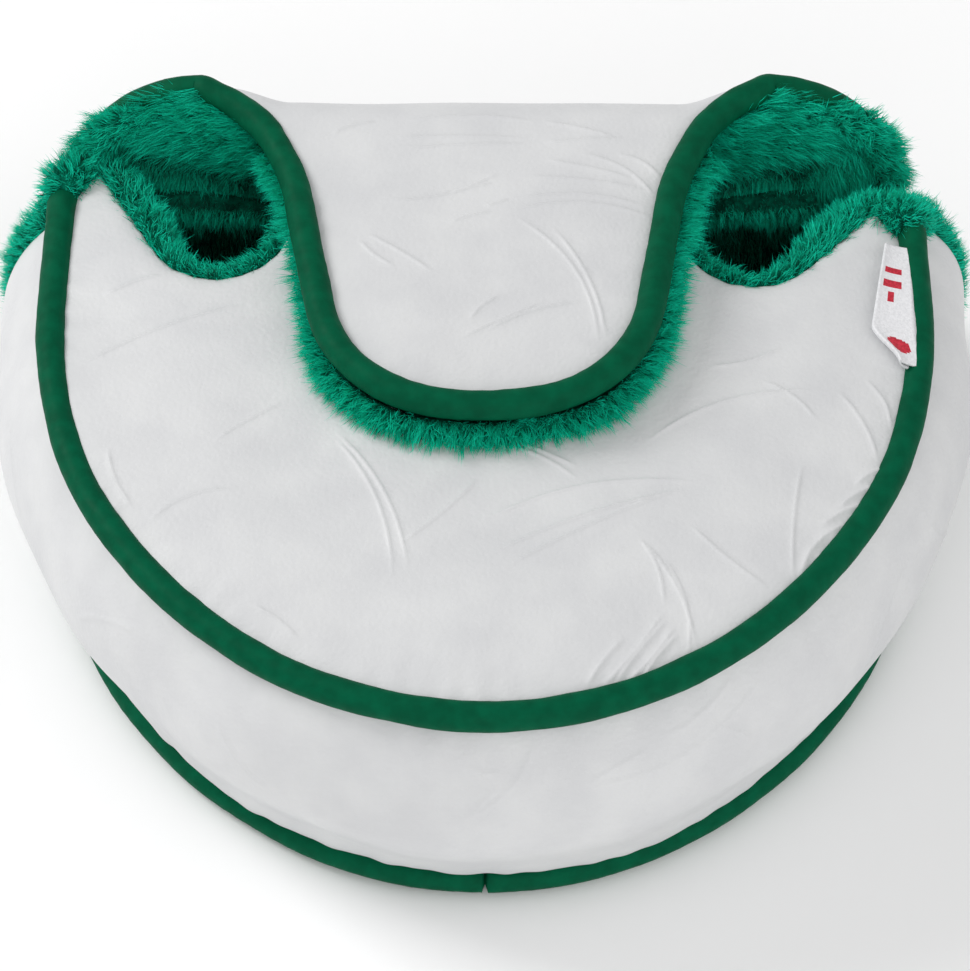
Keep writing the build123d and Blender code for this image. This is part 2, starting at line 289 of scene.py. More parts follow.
# %% Material helpers
def new_material(name, colour, roughness, specular=0.5):
    """A Principled material with plain values, and its node tree for what is added."""
    material = bpy.data.materials.new(name)
    material.use_nodes = True
    shader = material.node_tree.nodes["Principled BSDF"]
    shader.inputs["Base Color"].default_value = (*colour, 1)
    shader.inputs["Roughness"].default_value = roughness
    shader.inputs["Specular IOR Level"].default_value = specular
    return material, material.node_tree, shader


def add_node(tree, kind, **values):
    """Add a node and set its inputs by name."""
    node = tree.nodes.new(kind)
    for name, value in values.items():
        node.inputs[name.replace("_", " ")].default_value = value
    return node


def object_space(tree):
    """The output that gives a point's place on the object, in metres."""
    return tree.nodes.new("ShaderNodeTexCoord").outputs["Object"]


def grain(tree, shader, layers, strength=1.0):
    """Stack bump layers: each is (texture kind, size in mm, height in mm)."""
    place = object_space(tree)
    last = None
    for kind, size, height in layers:
        if kind == "cells":
            texture = add_node(tree, "ShaderNodeTexVoronoi", Scale=1 / (size * MM), Randomness=1.0)
            texture.feature = "SMOOTH_F1"
            value = texture.outputs["Distance"]
        else:
            texture = add_node(tree, "ShaderNodeTexNoise", Scale=1 / (size * MM), Detail=3.0)
            value = texture.outputs[0]
        tree.links.new(place, texture.inputs["Vector"])
        bump = add_node(tree, "ShaderNodeBump", Strength=strength, Distance=height * MM)
        tree.links.new(value, bump.inputs["Height"])
        if last:
            tree.links.new(last, bump.inputs["Normal"])
        last = bump.outputs["Normal"]
    tree.links.new(last, shader.inputs["Normal"])


def mottle(tree, socket, dark, light, size, low=0.35, high=0.65):
    """Drive a colour or a value with soft noise between two ends."""
    noise = add_node(tree, "ShaderNodeTexNoise", Scale=1 / (size * MM), Detail=3.0)
    tree.links.new(object_space(tree), noise.inputs["Vector"])
    if isinstance(dark, tuple):
        ramp = tree.nodes.new("ShaderNodeValToRGB")
        ramp.color_ramp.elements[0].position = low
        ramp.color_ramp.elements[1].position = high
        ramp.color_ramp.elements[0].color = (*dark, 1)
        ramp.color_ramp.elements[1].color = (*light, 1)
        tree.links.new(noise.outputs[0], ramp.inputs[0])
        tree.links.new(ramp.outputs[0], socket)
        return
    change = tree.nodes.new("ShaderNodeMapRange")
    change.inputs["From Min"].default_value = low
    change.inputs["From Max"].default_value = high
    change.inputs["To Min"].default_value = dark
    change.inputs["To Max"].default_value = light
    tree.links.new(noise.outputs[0], change.inputs["Value"])
    tree.links.new(change.outputs[0], socket)


# %% [markdown]
# ### White leather
# The grain has three layers: broad soft hills, small cells and a fine tooth. They are too fine to
# be points of a mesh, so they are bump. Colour and gloss change only a little, as the skin is one
# sprayed coat.

# %% White leather
white_leather, tree, shader = new_material("white leather", (0.70, 0.71, 0.72), 0.50, 0.40)
mottle(tree, shader.inputs["Base Color"], (0.63, 0.635, 0.645), (0.68, 0.685, 0.69), 9)
mottle(tree, shader.inputs["Roughness"], 0.47, 0.55, 3)
grain(tree, shader, [("noise", 3.0, 0.08), ("cells", 0.6, 0.09), ("noise", 0.25, 0.02)], 0.6)
print("leather nodes:", len(tree.nodes))

# %% [markdown]
# ### Piping and backing
# The piping's strip is a darker green and nearly matt, with a shallow grain. The backing that
# carries the plush fibres is a dark green, painted shade of the deep pile, and it is mottled, so
# that gaps between tufts read as more pile, not as a wall.

# %% Green piping and plush backing
green_piping, tree, shader = new_material("green piping", (0.0, 0.085, 0.038), 0.6, 0.05)
mottle(tree, shader.inputs["Base Color"], (0.0, 0.074, 0.033), (0.0, 0.098, 0.044), 2.5)
mottle(tree, shader.inputs["Roughness"], 0.50, 0.64, 1.5)
grain(tree, shader, [("noise", 1.6, 0.06), ("cells", 0.45, 0.03)], 0.5)

# Its dark green is painted shade, the darkness deep in the pile.
plush_backing, tree, shader = new_material("plush backing", (0.0, 0.05, 0.03), 0.95, 0.05)
mottle(tree, shader.inputs["Base Color"], (0.0, 0.040, 0.024), (0.0, 0.150, 0.088), 1.8)
grain(tree, shader, [("noise", 1.0, 0.5)], 1.0)
print("backing nodes:", len(tree.nodes))

# %% [markdown]
# ### Plush fibres
# A fibre is too thin to show a pattern, so each one takes its colours from a short ladder of
# greens: a dark root, a middle and a light tip, which is painted shade at the root and painted
# light at the tip. The steps between neighbours make the pile lively.

# %% Greens for the fibres
# The darker steps of this ladder paint shade and the lighter steps paint light.
greens = [
    (0.000, 0.060, 0.036), (0.000, 0.180, 0.108), (0.000, 0.310, 0.190),
    (0.000, 0.430, 0.265), (0.000, 0.540, 0.345), (0.004, 0.640, 0.420),
]
fibre_greens = [new_material(f"plush fibre {i}", colour, 0.55 + 0.04 * i, 0.12)[0]
                for i, colour in enumerate(greens)]
print("fibre greens:", len(fibre_greens))

# %% [markdown]
# ### Hidden parts
# Foam, filler cords, magnets and their pockets are inside the cover. They still get a finish each,
# so a section or an opened view shows what they are made of.

# %% Finishes of the hidden parts
hidden_colours = {
    "foam": (0.75, 0.72, 0.55), "filler cord": (0.8, 0.8, 0.78),
    "magnet": (0.55, 0.55, 0.57), "pocket film": (0.7, 0.75, 0.8),
}
hidden = {}
for name, colour in hidden_colours.items():
    hidden[name], tree, shader = new_material(name, colour, 0.6)
    mottle(tree, shader.inputs["Roughness"], 0.5, 0.7, 2)
for node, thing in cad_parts.items():
    kind = "foam"
    if "cord" in node:
        kind = "filler cord"
    if "magnets" in node:
        kind = "magnet"
    if "pockets" in node:
        kind = "pocket film"
    thing.data.materials.clear()
    thing.data.materials.append(hidden[kind])
print("materials made:", len(bpy.data.materials))

# %% [markdown]
# ## Cutting leather
# A panel is cut along its seam line and filled with small even triangles. Even triangles matter:
# the padding, the pressed pattern and the puckers are all moved points, and long thin triangles
# would show as creases that no cloth has.

# %% Make and turn a mesh
def make_object(name, points, faces, materials, slots=None):
    """A smooth mesh from points in mm, with one or more materials."""
    mesh = bpy.data.meshes.new(name)
    mesh.from_pydata((np.asarray(points) * MM).tolist(), [], [list(f) for f in faces])
    mesh.polygons.foreach_set("use_smooth", [True] * len(mesh.polygons))
    for material in materials:
        mesh.materials.append(material)
    if slots is not None:
        mesh.polygons.foreach_set("material_index", np.asarray(slots, np.int32))
    thing = bpy.data.objects.new(name, mesh)
    bpy.context.scene.collection.objects.link(thing)
    print(f"{name}: {len(mesh.vertices)} points, {len(mesh.polygons)} faces")
    return thing


def facing(points, faces, out):
    """The faces turned so that they look along out, one direction for each point."""
    tri = np.array([f[:3] for f in faces])
    cross = np.cross(points[tri[:, 1]] - points[tri[:, 0]], points[tri[:, 2]] - points[tri[:, 0]])
    looks = (cross * out[tri[:, 0]]).sum()
    return [f[::-1] for f in faces] if looks < 0 else faces


def thicken(thing, thickness):
    """Give a sheet its thickness inward and keep its outer face in place."""
    solid = thing.modifiers.new("thickness", "SOLIDIFY")
    solid.thickness = thickness * MM
    solid.offset = -1
    return thing


print("panels take their thickness inward:", leather, "mm of leather")

# %% [markdown]
# ### Pressed strokes
# The leather is embossed with thin curved lines. Each is a raised ridge that fades at both ends.
# A ridge narrower than the triangles would be lost, so extra rows of points are laid along it.

# %% Helpers for pressed strokes
def bend(start, end, sag, step=0.35):
    """A pressed stroke: a curve from start to end that sags sideways by sag mm."""
    start, end = np.array(start, float), np.array(end, float)
    t = np.linspace(0, 1, max(4, int(math.dist(start, end) / step)))[:, None]
    along = end - start
    across = np.array([-along[1], along[0]]) / np.linalg.norm(along)
    return start + along * t + across * sag * 4 * t * (1 - t)


def stroke_rows(stroke):
    """Rows of points on a stroke and on both sides of it."""
    line = bend(*stroke)
    way = directions(line)
    across = np.column_stack([-way[:, 1], way[:, 0]])
    return [line + across * gap for gap in (0, -0.22, 0.22, -0.5, 0.5)]


def apart(points, gap):
    """The points thinned so that each pair is at least gap apart, near enough."""
    kept, taken = [], set()
    for p in points:
        cell = (round(p[0] / gap), round(p[1] / gap))
        if cell not in taken:
            taken.add(cell)
            kept.append(p)
    return np.array(kept)


def pressed(points, strokes, height, width):
    """Height of thin raised strokes that fade at their ends."""
    total = np.zeros(len(points))
    for stroke in strokes:
        line = bend(*stroke, step=0.12)
        low, high = line.min(axis=0) - 1.5, line.max(axis=0) + 1.5
        near = np.all((points > low) & (points < high), axis=1).nonzero()[0]
        if len(near) == 0:
            continue
        index, gap = nearest(line, points[near])
        share = index / (len(line) - 1)
        fade = np.clip(np.minimum(share, 1 - share) * 6, 0, 1)
        ridge = height * fade * np.exp(-(gap / width) ** 2)
        total[near] = np.maximum(total[near], ridge)
    return total


print("a stroke is laid on", len(stroke_rows(((0, 0), (10, 0), 1))), "rows of points")

# %% [markdown]
# ### Filling an outline
# Points on an even slanted grid are kept where they fall inside the outline, and joined into
# triangles that respect it. That gives a sheet that can be moved point by point.

# %% Helpers for cutting
def inside(outline, points):
    """True for the points inside a closed outline."""
    result = np.zeros(len(points), bool)
    x, y = points[:, 0], points[:, 1]
    ends = np.roll(outline, -1, axis=0)
    for (x0, y0), (x1, y1) in zip(outline, ends):
        if y0 == y1:
            continue
        crosses = (y0 > y) != (y1 > y)
        result ^= crosses & (x < (x1 - x0) * (y - y0) / (y1 - y0) + x0)
    return result


def cut_panel(outline, step, strokes=()):
    """Points and triangles that fill a closed outline evenly, with finer rows along strokes."""
    low, high = outline.min(axis=0), outline.max(axis=0)
    rows = np.arange(low[1], high[1], step * 0.866)
    columns = np.arange(low[0], high[0] + step, step)
    grid = [np.column_stack([columns + (i % 2) * step / 2, np.full(len(columns), v)])
            for i, v in enumerate(rows)]
    grid = np.vstack(grid)
    grid = grid[inside(outline, grid)]
    grid = grid[nearest(outline, grid)[1] > step * 0.6]
    points = outline
    if strokes:
        beside = apart(np.vstack([row for stroke in strokes for row in stroke_rows(stroke)]), 0.15)
        beside = beside[inside(outline, beside)]
        beside = beside[nearest(outline, beside)[1] > 0.3]
        grid = grid[nearest(beside, grid)[1] > 0.3]
        points = np.vstack([points, beside])
    rim = len(outline)
    points = np.vstack([points, grid])
    edges = [(i, (i + 1) % rim) for i in range(rim)]
    made = delaunay_2d_cdt([Vector(p) for p in points.tolist()], edges, [], 1, 1e-5)
    return np.array([tuple(p) for p in made[0]]), made[2]


square = np.array([[0, 0], [4, 0], [4, 4], [0, 4]], float)
print("a square of 4 mm takes", len(cut_panel(even(square, 1.0), 1.0)[1]), "triangles")

# %% [markdown]
# ### Unevenness and padding
# Nothing sewn is perfectly smooth. Summed sine waves in random directions give soft hills, the
# same ones on every run. Padding dips at the stitches, swells behind them, and puckers along the
# seam where the cloth is gathered.

# %% Helpers for soft shapes
def waves(x, y, size, seed, count=10):
    """Soft random unevenness between about -1 and 1, with hills about size mm wide."""
    draw = np.random.default_rng(seed)
    total = np.zeros_like(x, dtype=float)
    for _ in range(count):
        way = draw.uniform(0, 2 * math.pi)
        number = 2 * math.pi / (size * draw.uniform(1.4, 2.8))
        phase = draw.uniform(0, 2 * math.pi)
        total += np.sin(number * (x * math.cos(way) + y * math.sin(way)) + phase)
    return total / math.sqrt(count)


def puffed(edge_gap, along, depth, swell, pucker, seed):
    """Height of padding near a seam: it dips at the stitches, swells, and puckers on the way."""
    dip = -depth * np.exp(-edge_gap / 1.1)
    rise = swell * (1 - np.exp(-edge_gap / 7.0))
    fold = waves(along, along * 0, 2.2, seed) * pucker * np.exp(-edge_gap / 3.2)
    return dip + rise + fold


far_in = puffed(20.0, np.zeros(1), 0.9, 0.7, 0, 1)[0]
print("padding 20 mm from a seam stands", round(far_in, 2), "mm proud")

# %% [markdown]
# ## Top panel
# The crescent of leather over the club head. It is slightly domed by the foam under it, it dips
# beside the piping, and its rear edge is turned under round the two scallops.

# %% Dome and pressed strokes of the top panel
def top_height(x, y):
    """The domed top of the padding."""
    crown = 3.2
    radius = (seam_half ** 2 + crown ** 2) / (2 * crown)
    return top_face - radius + np.sqrt(radius ** 2 - x ** 2 - (y - 12.0) ** 2)


top_strokes = [
    ((-20, -3), (-10, -25), 2), ((-20, -4), (-12, -26), 2), ((-11, -21), (-1, -11), -0.5),
    ((-55, 10), (-33, 19), 1), ((-36, -4), (-27, 2), 0.2), ((-44, -16), (-33, -12), 1.5),
    ((4, -5), (12, -9), 0.1), ((4, -6), (12, -11), 0.5), ((-50, -4), (-46, -14), -0.8),
    ((-1, -18), (28, -11), 2.5), ((0, -23), (27, -12), 1), ((2, -25), (26, -12), 0.5),
    ((27, -18), (37, -27), -0.5), ((20, -20), (23, -30), 1), ((23, -23), (26, -37), 1.5),
    ((20, -20), (27, -36), 1.5), ((21, -5), (45, 5), 2.5), ((37, 6), (44, 0), 1),
    ((47, 5), (52, -6), 1), ((51, 7), (54, 0), 1), ((42, -7), (40, -25), -0.5),
    ((-30, -30), (-24, -35), 0.5), ((-52, 22), (-44, 25), 0.5), ((30, 8), (40, 12), -0.8),
]
pucker_strokes = [
    ((13, -42), (18, -35), 0.3), ((15, -42), (23, -31), -0.5), ((16.6, -41.6), (23.6, -32), 0.2),
    ((18.2, -41.2), (24.4, -33), -0.5), ((20, -41), (25, -34), 0.3), ((41, -25), (48, -16), 1.5),
    ((44, -17), (50, -13), 0.5), ((46.5, -14), (51.5, -10), 0.5), ((49, -10), (53, -7), 0.4),
]
print("strokes on the top:", len(top_strokes) + len(pucker_strokes))

# %% [markdown]
# ### Cutting and padding the top
# The outline is the seam in front and the scalloped edge behind. The height of each point is the
# dome, plus the padding, plus the turned rear edge, plus the strokes. Piling up simple heights
# keeps each cause easy to change.

# %% Cut and pad the top panel
top_outline = np.vstack([seam[(seam[:, 0] < 0) | (seam[:, 1] < 34.0)], rear_edge[::-1]])
top_rim = even(np.vstack([top_outline, top_outline[:1]]), 0.45)[:-1]
flat, faces = cut_panel(top_rim, 0.5, top_strokes + pucker_strokes)
seam_index, seam_gap = nearest(seam, flat)
edge_index, edge_gap = nearest(rear_edge, flat)
height = top_height(flat[:, 0], flat[:, 1])
height += puffed(seam_gap, seam_index * 0.4, 0.9, 0.7, 0.12, 3)
height += -0.9 * np.exp(-edge_gap / 0.9) + 0.07 * waves(edge_index * 0.4, 0, 2.5, 5) * np.exp(-edge_gap / 3)
height += 0.16 * waves(flat[:, 0], flat[:, 1], 13, 11)
height += pressed(flat, top_strokes, 0.25, 0.22)
height += pressed(flat, pucker_strokes, 0.32, 0.34)
points = np.column_stack([flat, height])
faces = facing(points, faces, np.tile([0, 0, 1], (len(flat), 1)))
top_panel = make_object("top_panel", points, faces, [white_leather])

thicken(top_panel, leather)
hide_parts("top_shell")

# %% [markdown]
# ## Side wall
# A band of padded leather between the two seams. It swells outward like a tyre because the plush
# inside pushes on it, and it puckers where it is gathered into the curved seams.

# %% Section and line of the side wall
def wall_rows(step):
    """The section of the side wall: distance outside the seam line, height, and reach 0 to 1."""
    rise = (seam_height - low_seam_height) / 2 - 1.3
    centre_z = (seam_height + low_seam_height) / 2
    radius = (rise ** 2 + bulge ** 2) / (2 * bulge)
    half = math.asin(rise / radius)
    turn = np.linspace(-half, half, int(2 * half * radius / step))
    return radius * np.cos(turn) - radius + bulge, centre_z + radius * np.sin(turn), turn


wall_step = 0.4
wall_end = 40.0
out, high, turn = wall_rows(wall_step)
wall_line = even(seam, wall_step)
wall_line = wall_line[wall_line[:, 1] <= wall_end]
tangent = directions(wall_line)
wall_normal = np.column_stack([-tangent[:, 1], tangent[:, 0]]) * -1
wall_normal *= np.sign((wall_normal * (wall_line - [0, 18])).sum(axis=1))[:, None]
run = np.arange(len(wall_line)) * wall_step
S, T = np.meshgrid(run, np.arange(len(turn)), indexing="ij")
up_gap = (len(turn) - 1 - T) * wall_step
down_gap = T * wall_step
end_gap = np.minimum(S, run[-1] - S)
print("side wall:", len(run), "sections of", len(turn), "points")

# %% [markdown]
# ### Padding the wall
# Every section is moved along its own normal: gentle hills, pressed strokes, ripples next to both
# seams, and a pinch at the two rear ends. The wall swells less round the front, and its lower half
# is slack, because the bottom seam pulls it in.

# %% Pad the side wall
wall_strokes = [
    ((22, 34), (33, 38), -1), ((11, 30), (37, 35), -2.5), ((12, 30), (20, 33), 0.4),
    ((-3, 26), (6, 38), -1.5), ((-2, 26), (2, 32), 0.4), ((30, 31), (34, 26), 0.3),
    ((-2, 35), (2, 34), -0.5), ((-60, 24), (-48, 33), 1.5), ((-34, 30), (-26, 22), -1),
    ((55, 20), (66, 30), 1.5), ((72, 30), (80, 18), -1.5), ((-90, 30), (-78, 22), 1.5),
]
sheet_place = np.column_stack([(S - run[-1] / 2).ravel(), (T * wall_step).ravel()])
shift = waves(S, T * wall_step, 15, 21) * 0.35
shift += pressed(sheet_place, wall_strokes, 0.20, 0.32).reshape(S.shape)
shift += waves(S, S * 0, 2.4, 22) * 0.22 * np.exp(-up_gap / 4.5)
shift += waves(S, S * 0, 2.6, 23) * 0.20 * np.exp(-down_gap / 4.5)
shift -= 1.2 * np.exp(-end_gap / 1.2)
forward = np.clip(-wall_normal[:, 1], 0, 1)
ease = 1 - 0.2 * np.clip(forward / 0.6, 0, 1) - 0.6 * forward * (1 - forward)
slack = 2.0 * np.sin(math.pi * np.clip(-turn / turn[-1], 0, 1)) ** 2
outward = (out - slack)[None, :] * ease[:, None] + shift * np.cos(turn)[None, :]
rise = high[None, :] + shift * np.sin(turn)[None, :]
place = wall_line[:, None, :] + wall_normal[:, None, :] * outward[..., None]
points = np.dstack([place, rise]).reshape(-1, 3)
wide = len(turn)
a = (np.arange(len(run) - 1)[:, None] * wide + np.arange(wide - 1)[None, :]).ravel()
faces = np.column_stack([a, a + wide, a + wide + 1, a + 1])
faces = facing(points, faces.tolist(), points - [0, 0, seam_height / 2])
side_wall = make_object("side_wall", points, faces, [white_leather])
thicken(side_wall, leather)
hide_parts("side_wall_shell")

# %% [markdown]
# ## The folded strip
# Bottom, rear wall and tongue are cut as two pieces of the flat strip, divided halfway up the
# wall where nothing bends. Each piece then crosses only one fold, which joins two bodies.

# %% Strokes of the tongue and the two pieces of the strip
tongue_strokes = [
    ((-11, 46), (7, 46), 1), ((-13, 43), (6, 43), 0.2), ((-12, 41), (6, 42), 0.2),
    ((8, 42), (19, 43), 0.2), ((8, 46), (18, 43), 0.3), ((-14, 32), (2, 37), -1.5),
    ((-5, 33), (1, 35), 0.2), ((0, 31), (3, 32), 0), ((4, 32), (22, 31), 1.5),
    ((-5, 28), (1, 30), 0.2), ((3, 30), (23, 29), 2), ((8, 39), (20, 36), 0.2),
    ((5, 36), (22, 34), 0.5), ((13, 40), (23, 33), 1.5), ((18, 40), (24, 36), 1),
    ((4, 29), (15, 7), 3), ((9, 27), (16, 8), 1.5), ((-16, 26), (-7, 19), 0.2),
    ((-17, 25), (-12, 20), -0.5), ((-3, 8), (8, 14), 0.2), ((0, 9), (13, 14), 1),
    ((-2, 11), (2, 15), 0.5), ((-21, 44), (-15, 46), 0.5),
]
strip_outline = both_sides(strip_line)
wall_split = 16.0
is_upper = strip_outline[:, 1] >= wall_split
rows = is_upper.nonzero()[0]
upper_part = strip_outline[rows[0]:rows[-1] + 1]
lower_right = strip_line[strip_line[:, 1] < wall_split]
lower_part = np.vstack([lower_right, lower_right[::-1][1:] * [-1, 1]])
print("outline points above and below the cut:", len(upper_part), len(lower_part))

# %% [markdown]
# ### Padding and folding
# Each piece is padded while it is flat, where distances are true, and only then folded in space.
# Padding fades to nothing at the cut across the wall, so the two pieces meet there without a step.

# %% Cut, pad and fold the strip
def on_split(part, step=0.4):
    """Close a part of the strip with a straight cut across the wall."""
    part = part.copy()
    part[[0, -1], 1] = wall_split
    cut = even(np.array([part[-1], part[0]]), step)[1:-1]
    return np.vstack([part, cut])


def tight(u):
    """Padding fades to nothing at the cut across the wall, so both pieces meet there."""
    return np.clip(np.abs(u - wall_split) / 3.0, 0, 1)


def on_strip(strokes):
    """Strokes drawn in plan on the tongue, carried to the flat strip."""
    return [((s[0], tongue_u(s[1])), (e[0], tongue_u(e[1])), -sag) for s, e, sag in strokes]


def fold_skin(flat, faces, name, strokes, swell):
    """Pad a flat piece, press its pattern and fold it."""
    index, gap = nearest(strip_outline, flat)
    x, u = flat[:, 0], flat[:, 1]
    height = puffed(gap, index * 0.4, 0.8, swell, 0.10, 31) - swell
    height += 0.14 * waves(x, u, 12, 33)
    height = height * tight(u)
    height += pressed(flat, strokes, 0.25, 0.22)
    surface, normal = strip_surface(x, u)
    points = surface + normal * height[:, None]
    return make_object(name, points, facing(points, faces, normal), [white_leather])


pressed_on_tongue = on_strip(tongue_strokes)
flat, faces = cut_panel(on_split(upper_part), 0.5, pressed_on_tongue)
flap_leather = fold_skin(flat, faces, "flap_leather", pressed_on_tongue, 0.5)
flat, faces = cut_panel(on_split(lower_part), 0.9)
base_leather = fold_skin(flat, faces, "base_leather", [], 0.3)
thicken(flap_leather, leather)
thicken(base_leather, leather)
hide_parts("tongue_shell", "rear_wall_shell")
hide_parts("bottom_shell")

# %% [markdown]
# ## Piping
# Piping is a cord wrapped in a bias strip and caught in the seam. It is a round tube, but a sewn
# one: it waves a little, and fine wrinkles cross it where the strip was pulled round a curve.

# %% Helpers for tubes
def tube(name, path, radius, seed, sides=28, step=0.35):
    """A piped edge along a 3D path: a tube with small wrinkles and closed ends."""
    path = even(path, step)
    count = len(path)
    tangent = directions(path)
    side = np.zeros_like(path)
    side[0] = np.cross(tangent[0], [0.31, 0.2, 0.93])
    side[0] /= np.linalg.norm(side[0])
    for i in range(1, count):
        v = side[i - 1] - tangent[i] * np.dot(side[i - 1], tangent[i])
        side[i] = v / np.linalg.norm(v)
    other = np.cross(tangent, side)
    run = np.arange(count) * step
    turn = np.linspace(0, 2 * math.pi, sides, endpoint=False)
    R, A = np.meshgrid(run, turn, indexing="ij")
    skew = R + 0.5 * np.sin(A + R * 0.08)
    wrinkle = 0.018 * waves(skew, np.sin(A) * 2.0, 1.3, seed) + 0.05 * waves(R, R * 0, 6, seed + 1)
    size = radius + wrinkle
    ring = side[:, None, :] * np.cos(A)[..., None] + other[:, None, :] * np.sin(A)[..., None]
    points = (path[:, None, :] + ring * size[..., None]).reshape(-1, 3)
    faces = []
    for i in range(count - 1):
        for j in range(sides):
            k = (j + 1) % sides
            faces.append((i * sides + j, i * sides + k, (i + 1) * sides + k, (i + 1) * sides + j))
    caps = [path[0] - tangent[0] * radius * 0.35, path[-1] + tangent[-1] * radius * 0.35]
    points = np.vstack([points, caps])
    first, last = len(points) - 2, len(points) - 1
    for j in range(sides):
        k = (j + 1) % sides
        faces.append((first, k, j))
        faces.append((last, (count - 1) * sides + j, (count - 1) * sides + k))
    return make_object(name, points, faces, [green_piping])


def sway(path, amount, seed):
    """Let a path wander by a fraction of a millimetre, as a hand-guided seam does."""
    path = even(path, 0.5)
    run = np.arange(len(path)) * 0.5
    move = np.column_stack([waves(run, run * 0, 14, seed + i) for i in range(3)])
    return path + move * amount


print("tube diameter in mm:", round(2 * tube_r, 2))

# %% [markdown]
# ### Piping in the top seam
# It follows the seam line, and both ends dive under the plush that rolls over the corners, so no
# cut end shows. The right end stops earlier, because the corner reaches further forward there.

# %% Piping in the top seam
right_stop = 35.5
upper_path = seam[(seam[:, 0] < 0) | (seam[:, 1] < right_stop)]
upper_path = np.column_stack([upper_path, np.full(len(upper_path), seam_height)])
tuck_left = [[-seam_half + 0.6, seam_end + 2.4, seam_height - 1.8]]
tuck_right = [[seam_half - 0.9, right_stop + 2.1, seam_height - 1.8]]
upper_path = soften(np.vstack([tuck_left, upper_path, tuck_right]), 0.8)
upper_piping = tube("upper_piping", sway(upper_path, 0.10, 41), tube_r, 42)
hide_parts("upper_piping_cover", "upper_piping_cord")

# %% [markdown]
# ### Piping round the strip
# One line runs round the whole folded strip. It is laid as separate tubes that meet at the top of
# the ears and at the bottom fold, so that each tube bends over one fold at most: round the tongue,
# down both edges of the wall, and round the bottom to the front, where the two ends meet.

# %% Piping round the strip
surface, normal = strip_surface(strip_line[:, 0], strip_line[:, 1])
border = surface - normal * 0.55
drop = np.clip(-strip_line[:, 1] / (quarter * fold_r), 0, 1)
border[:, 2] += (low_seam_height - 0.55) * drop * drop * (3 - 2 * drop)
apex = int(np.argmin(np.abs(strip_line[:, 0] - 43) + 100 * (strip_line[:, 1] < 30)
                     + 100 * (strip_line[:, 1] > 46)))
fold_start = int(np.argmax(strip_line[:, 1] < -quarter * fold_r - 1.0))
neck_half = border[:apex + 4]
tongue_path = np.vstack([neck_half[::-1] * [-1, 1, 1], neck_half[1:]])
tongue_piping = tube("tongue_piping", sway(tongue_path, 0.08, 51), tube_r, 52)
ear_path = border[apex:fold_start + 1]
rear_piping_right = tube("rear_piping_right", ear_path, tube_r, 53)
rear_piping_left = tube("rear_piping_left", ear_path * [-1, 1, 1], tube_r, 54)
butt = 0.25
low_path = border[fold_start:-1]
lower_right_path = low_path[low_path[:, 0] > butt]
lower_piping_right = tube("lower_piping_right", lower_right_path, tube_r, 55)
lower_piping_left = tube("lower_piping_left", lower_right_path * [-1, 1, 1], tube_r, 56)
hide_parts("tongue_piping_cover", "tongue_piping_cord")
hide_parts("rear_piping_cover_right", "rear_piping_cord_right")
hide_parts("rear_piping_cover_left", "rear_piping_cord_left")
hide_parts("lower_piping_cover", "lower_piping_cord")
print("apex of the ear at", border[apex].round(1), "fold at", border[fold_start].round(1))

# %% [markdown]
# ## Plush
# Plush is a knitted backing with long fibres standing out of it. The fibres gather in small
# tufts that lean the way the pile was combed. Each fibre here is a thin tapered ribbon of three
# short faces, dark at its root and lighter at its tip, as light reaches only the tips.

# %% Roots of the fibres
def sprinkle(points, faces, density, seed):
    """Random roots on a surface, so many per square mm, and the surface's normal at each."""
    draw = np.random.default_rng(seed)
    points = np.asarray(points, float)
    corners = []
    for f in faces:
        corners.append((f[0], f[1], f[2]))
        if len(f) == 4:
            corners.append((f[0], f[2], f[3]))
    a, b, c = (points[np.array(corners)[:, i]] for i in range(3))
    cross = np.cross(b - a, c - a)
    area = np.linalg.norm(cross, axis=1) / 2
    chosen = draw.choice(len(area), int(area.sum() * density), p=area / area.sum())
    u, v = draw.random(len(chosen)), draw.random(len(chosen))
    flip = u + v > 1
    u, v = np.where(flip, 1 - u, u)[:, None], np.where(flip, 1 - v, v)[:, None]
    roots = a[chosen] + (b - a)[chosen] * u + (c - a)[chosen] * v
    return roots, cross[chosen] / (2 * area[chosen])[:, None]


def unit(v):
    """Vectors of length one."""
    return v / np.maximum(np.linalg.norm(v, axis=1)[:, None], 1e-9)


def closest(path, places):
    """For each place, the index of the nearest point of a path in space."""
    tree = KDTree(len(path))
    for i, p in enumerate(path):
        tree.insert(p, i)
    tree.balance()
    return np.array([tree.find(p)[1] for p in places])


def roots_on_roll(path, points, faces, density, seed):
    """Roots round a roll, the way out from its middle, and the nearest place along it."""
    roots = sprinkle(points, faces[:-2], density, seed)[0]
    index = closest(path, roots)
    return roots, unit(roots - path[index]), index


print("a square of 10 mm with 3 roots per square mm:",
      len(sprinkle([[0, 0, 0], [10, 0, 0], [10, 10, 0], [0, 10, 0]], [(0, 1, 2, 3)], 3, 1)[0]), "fibres")
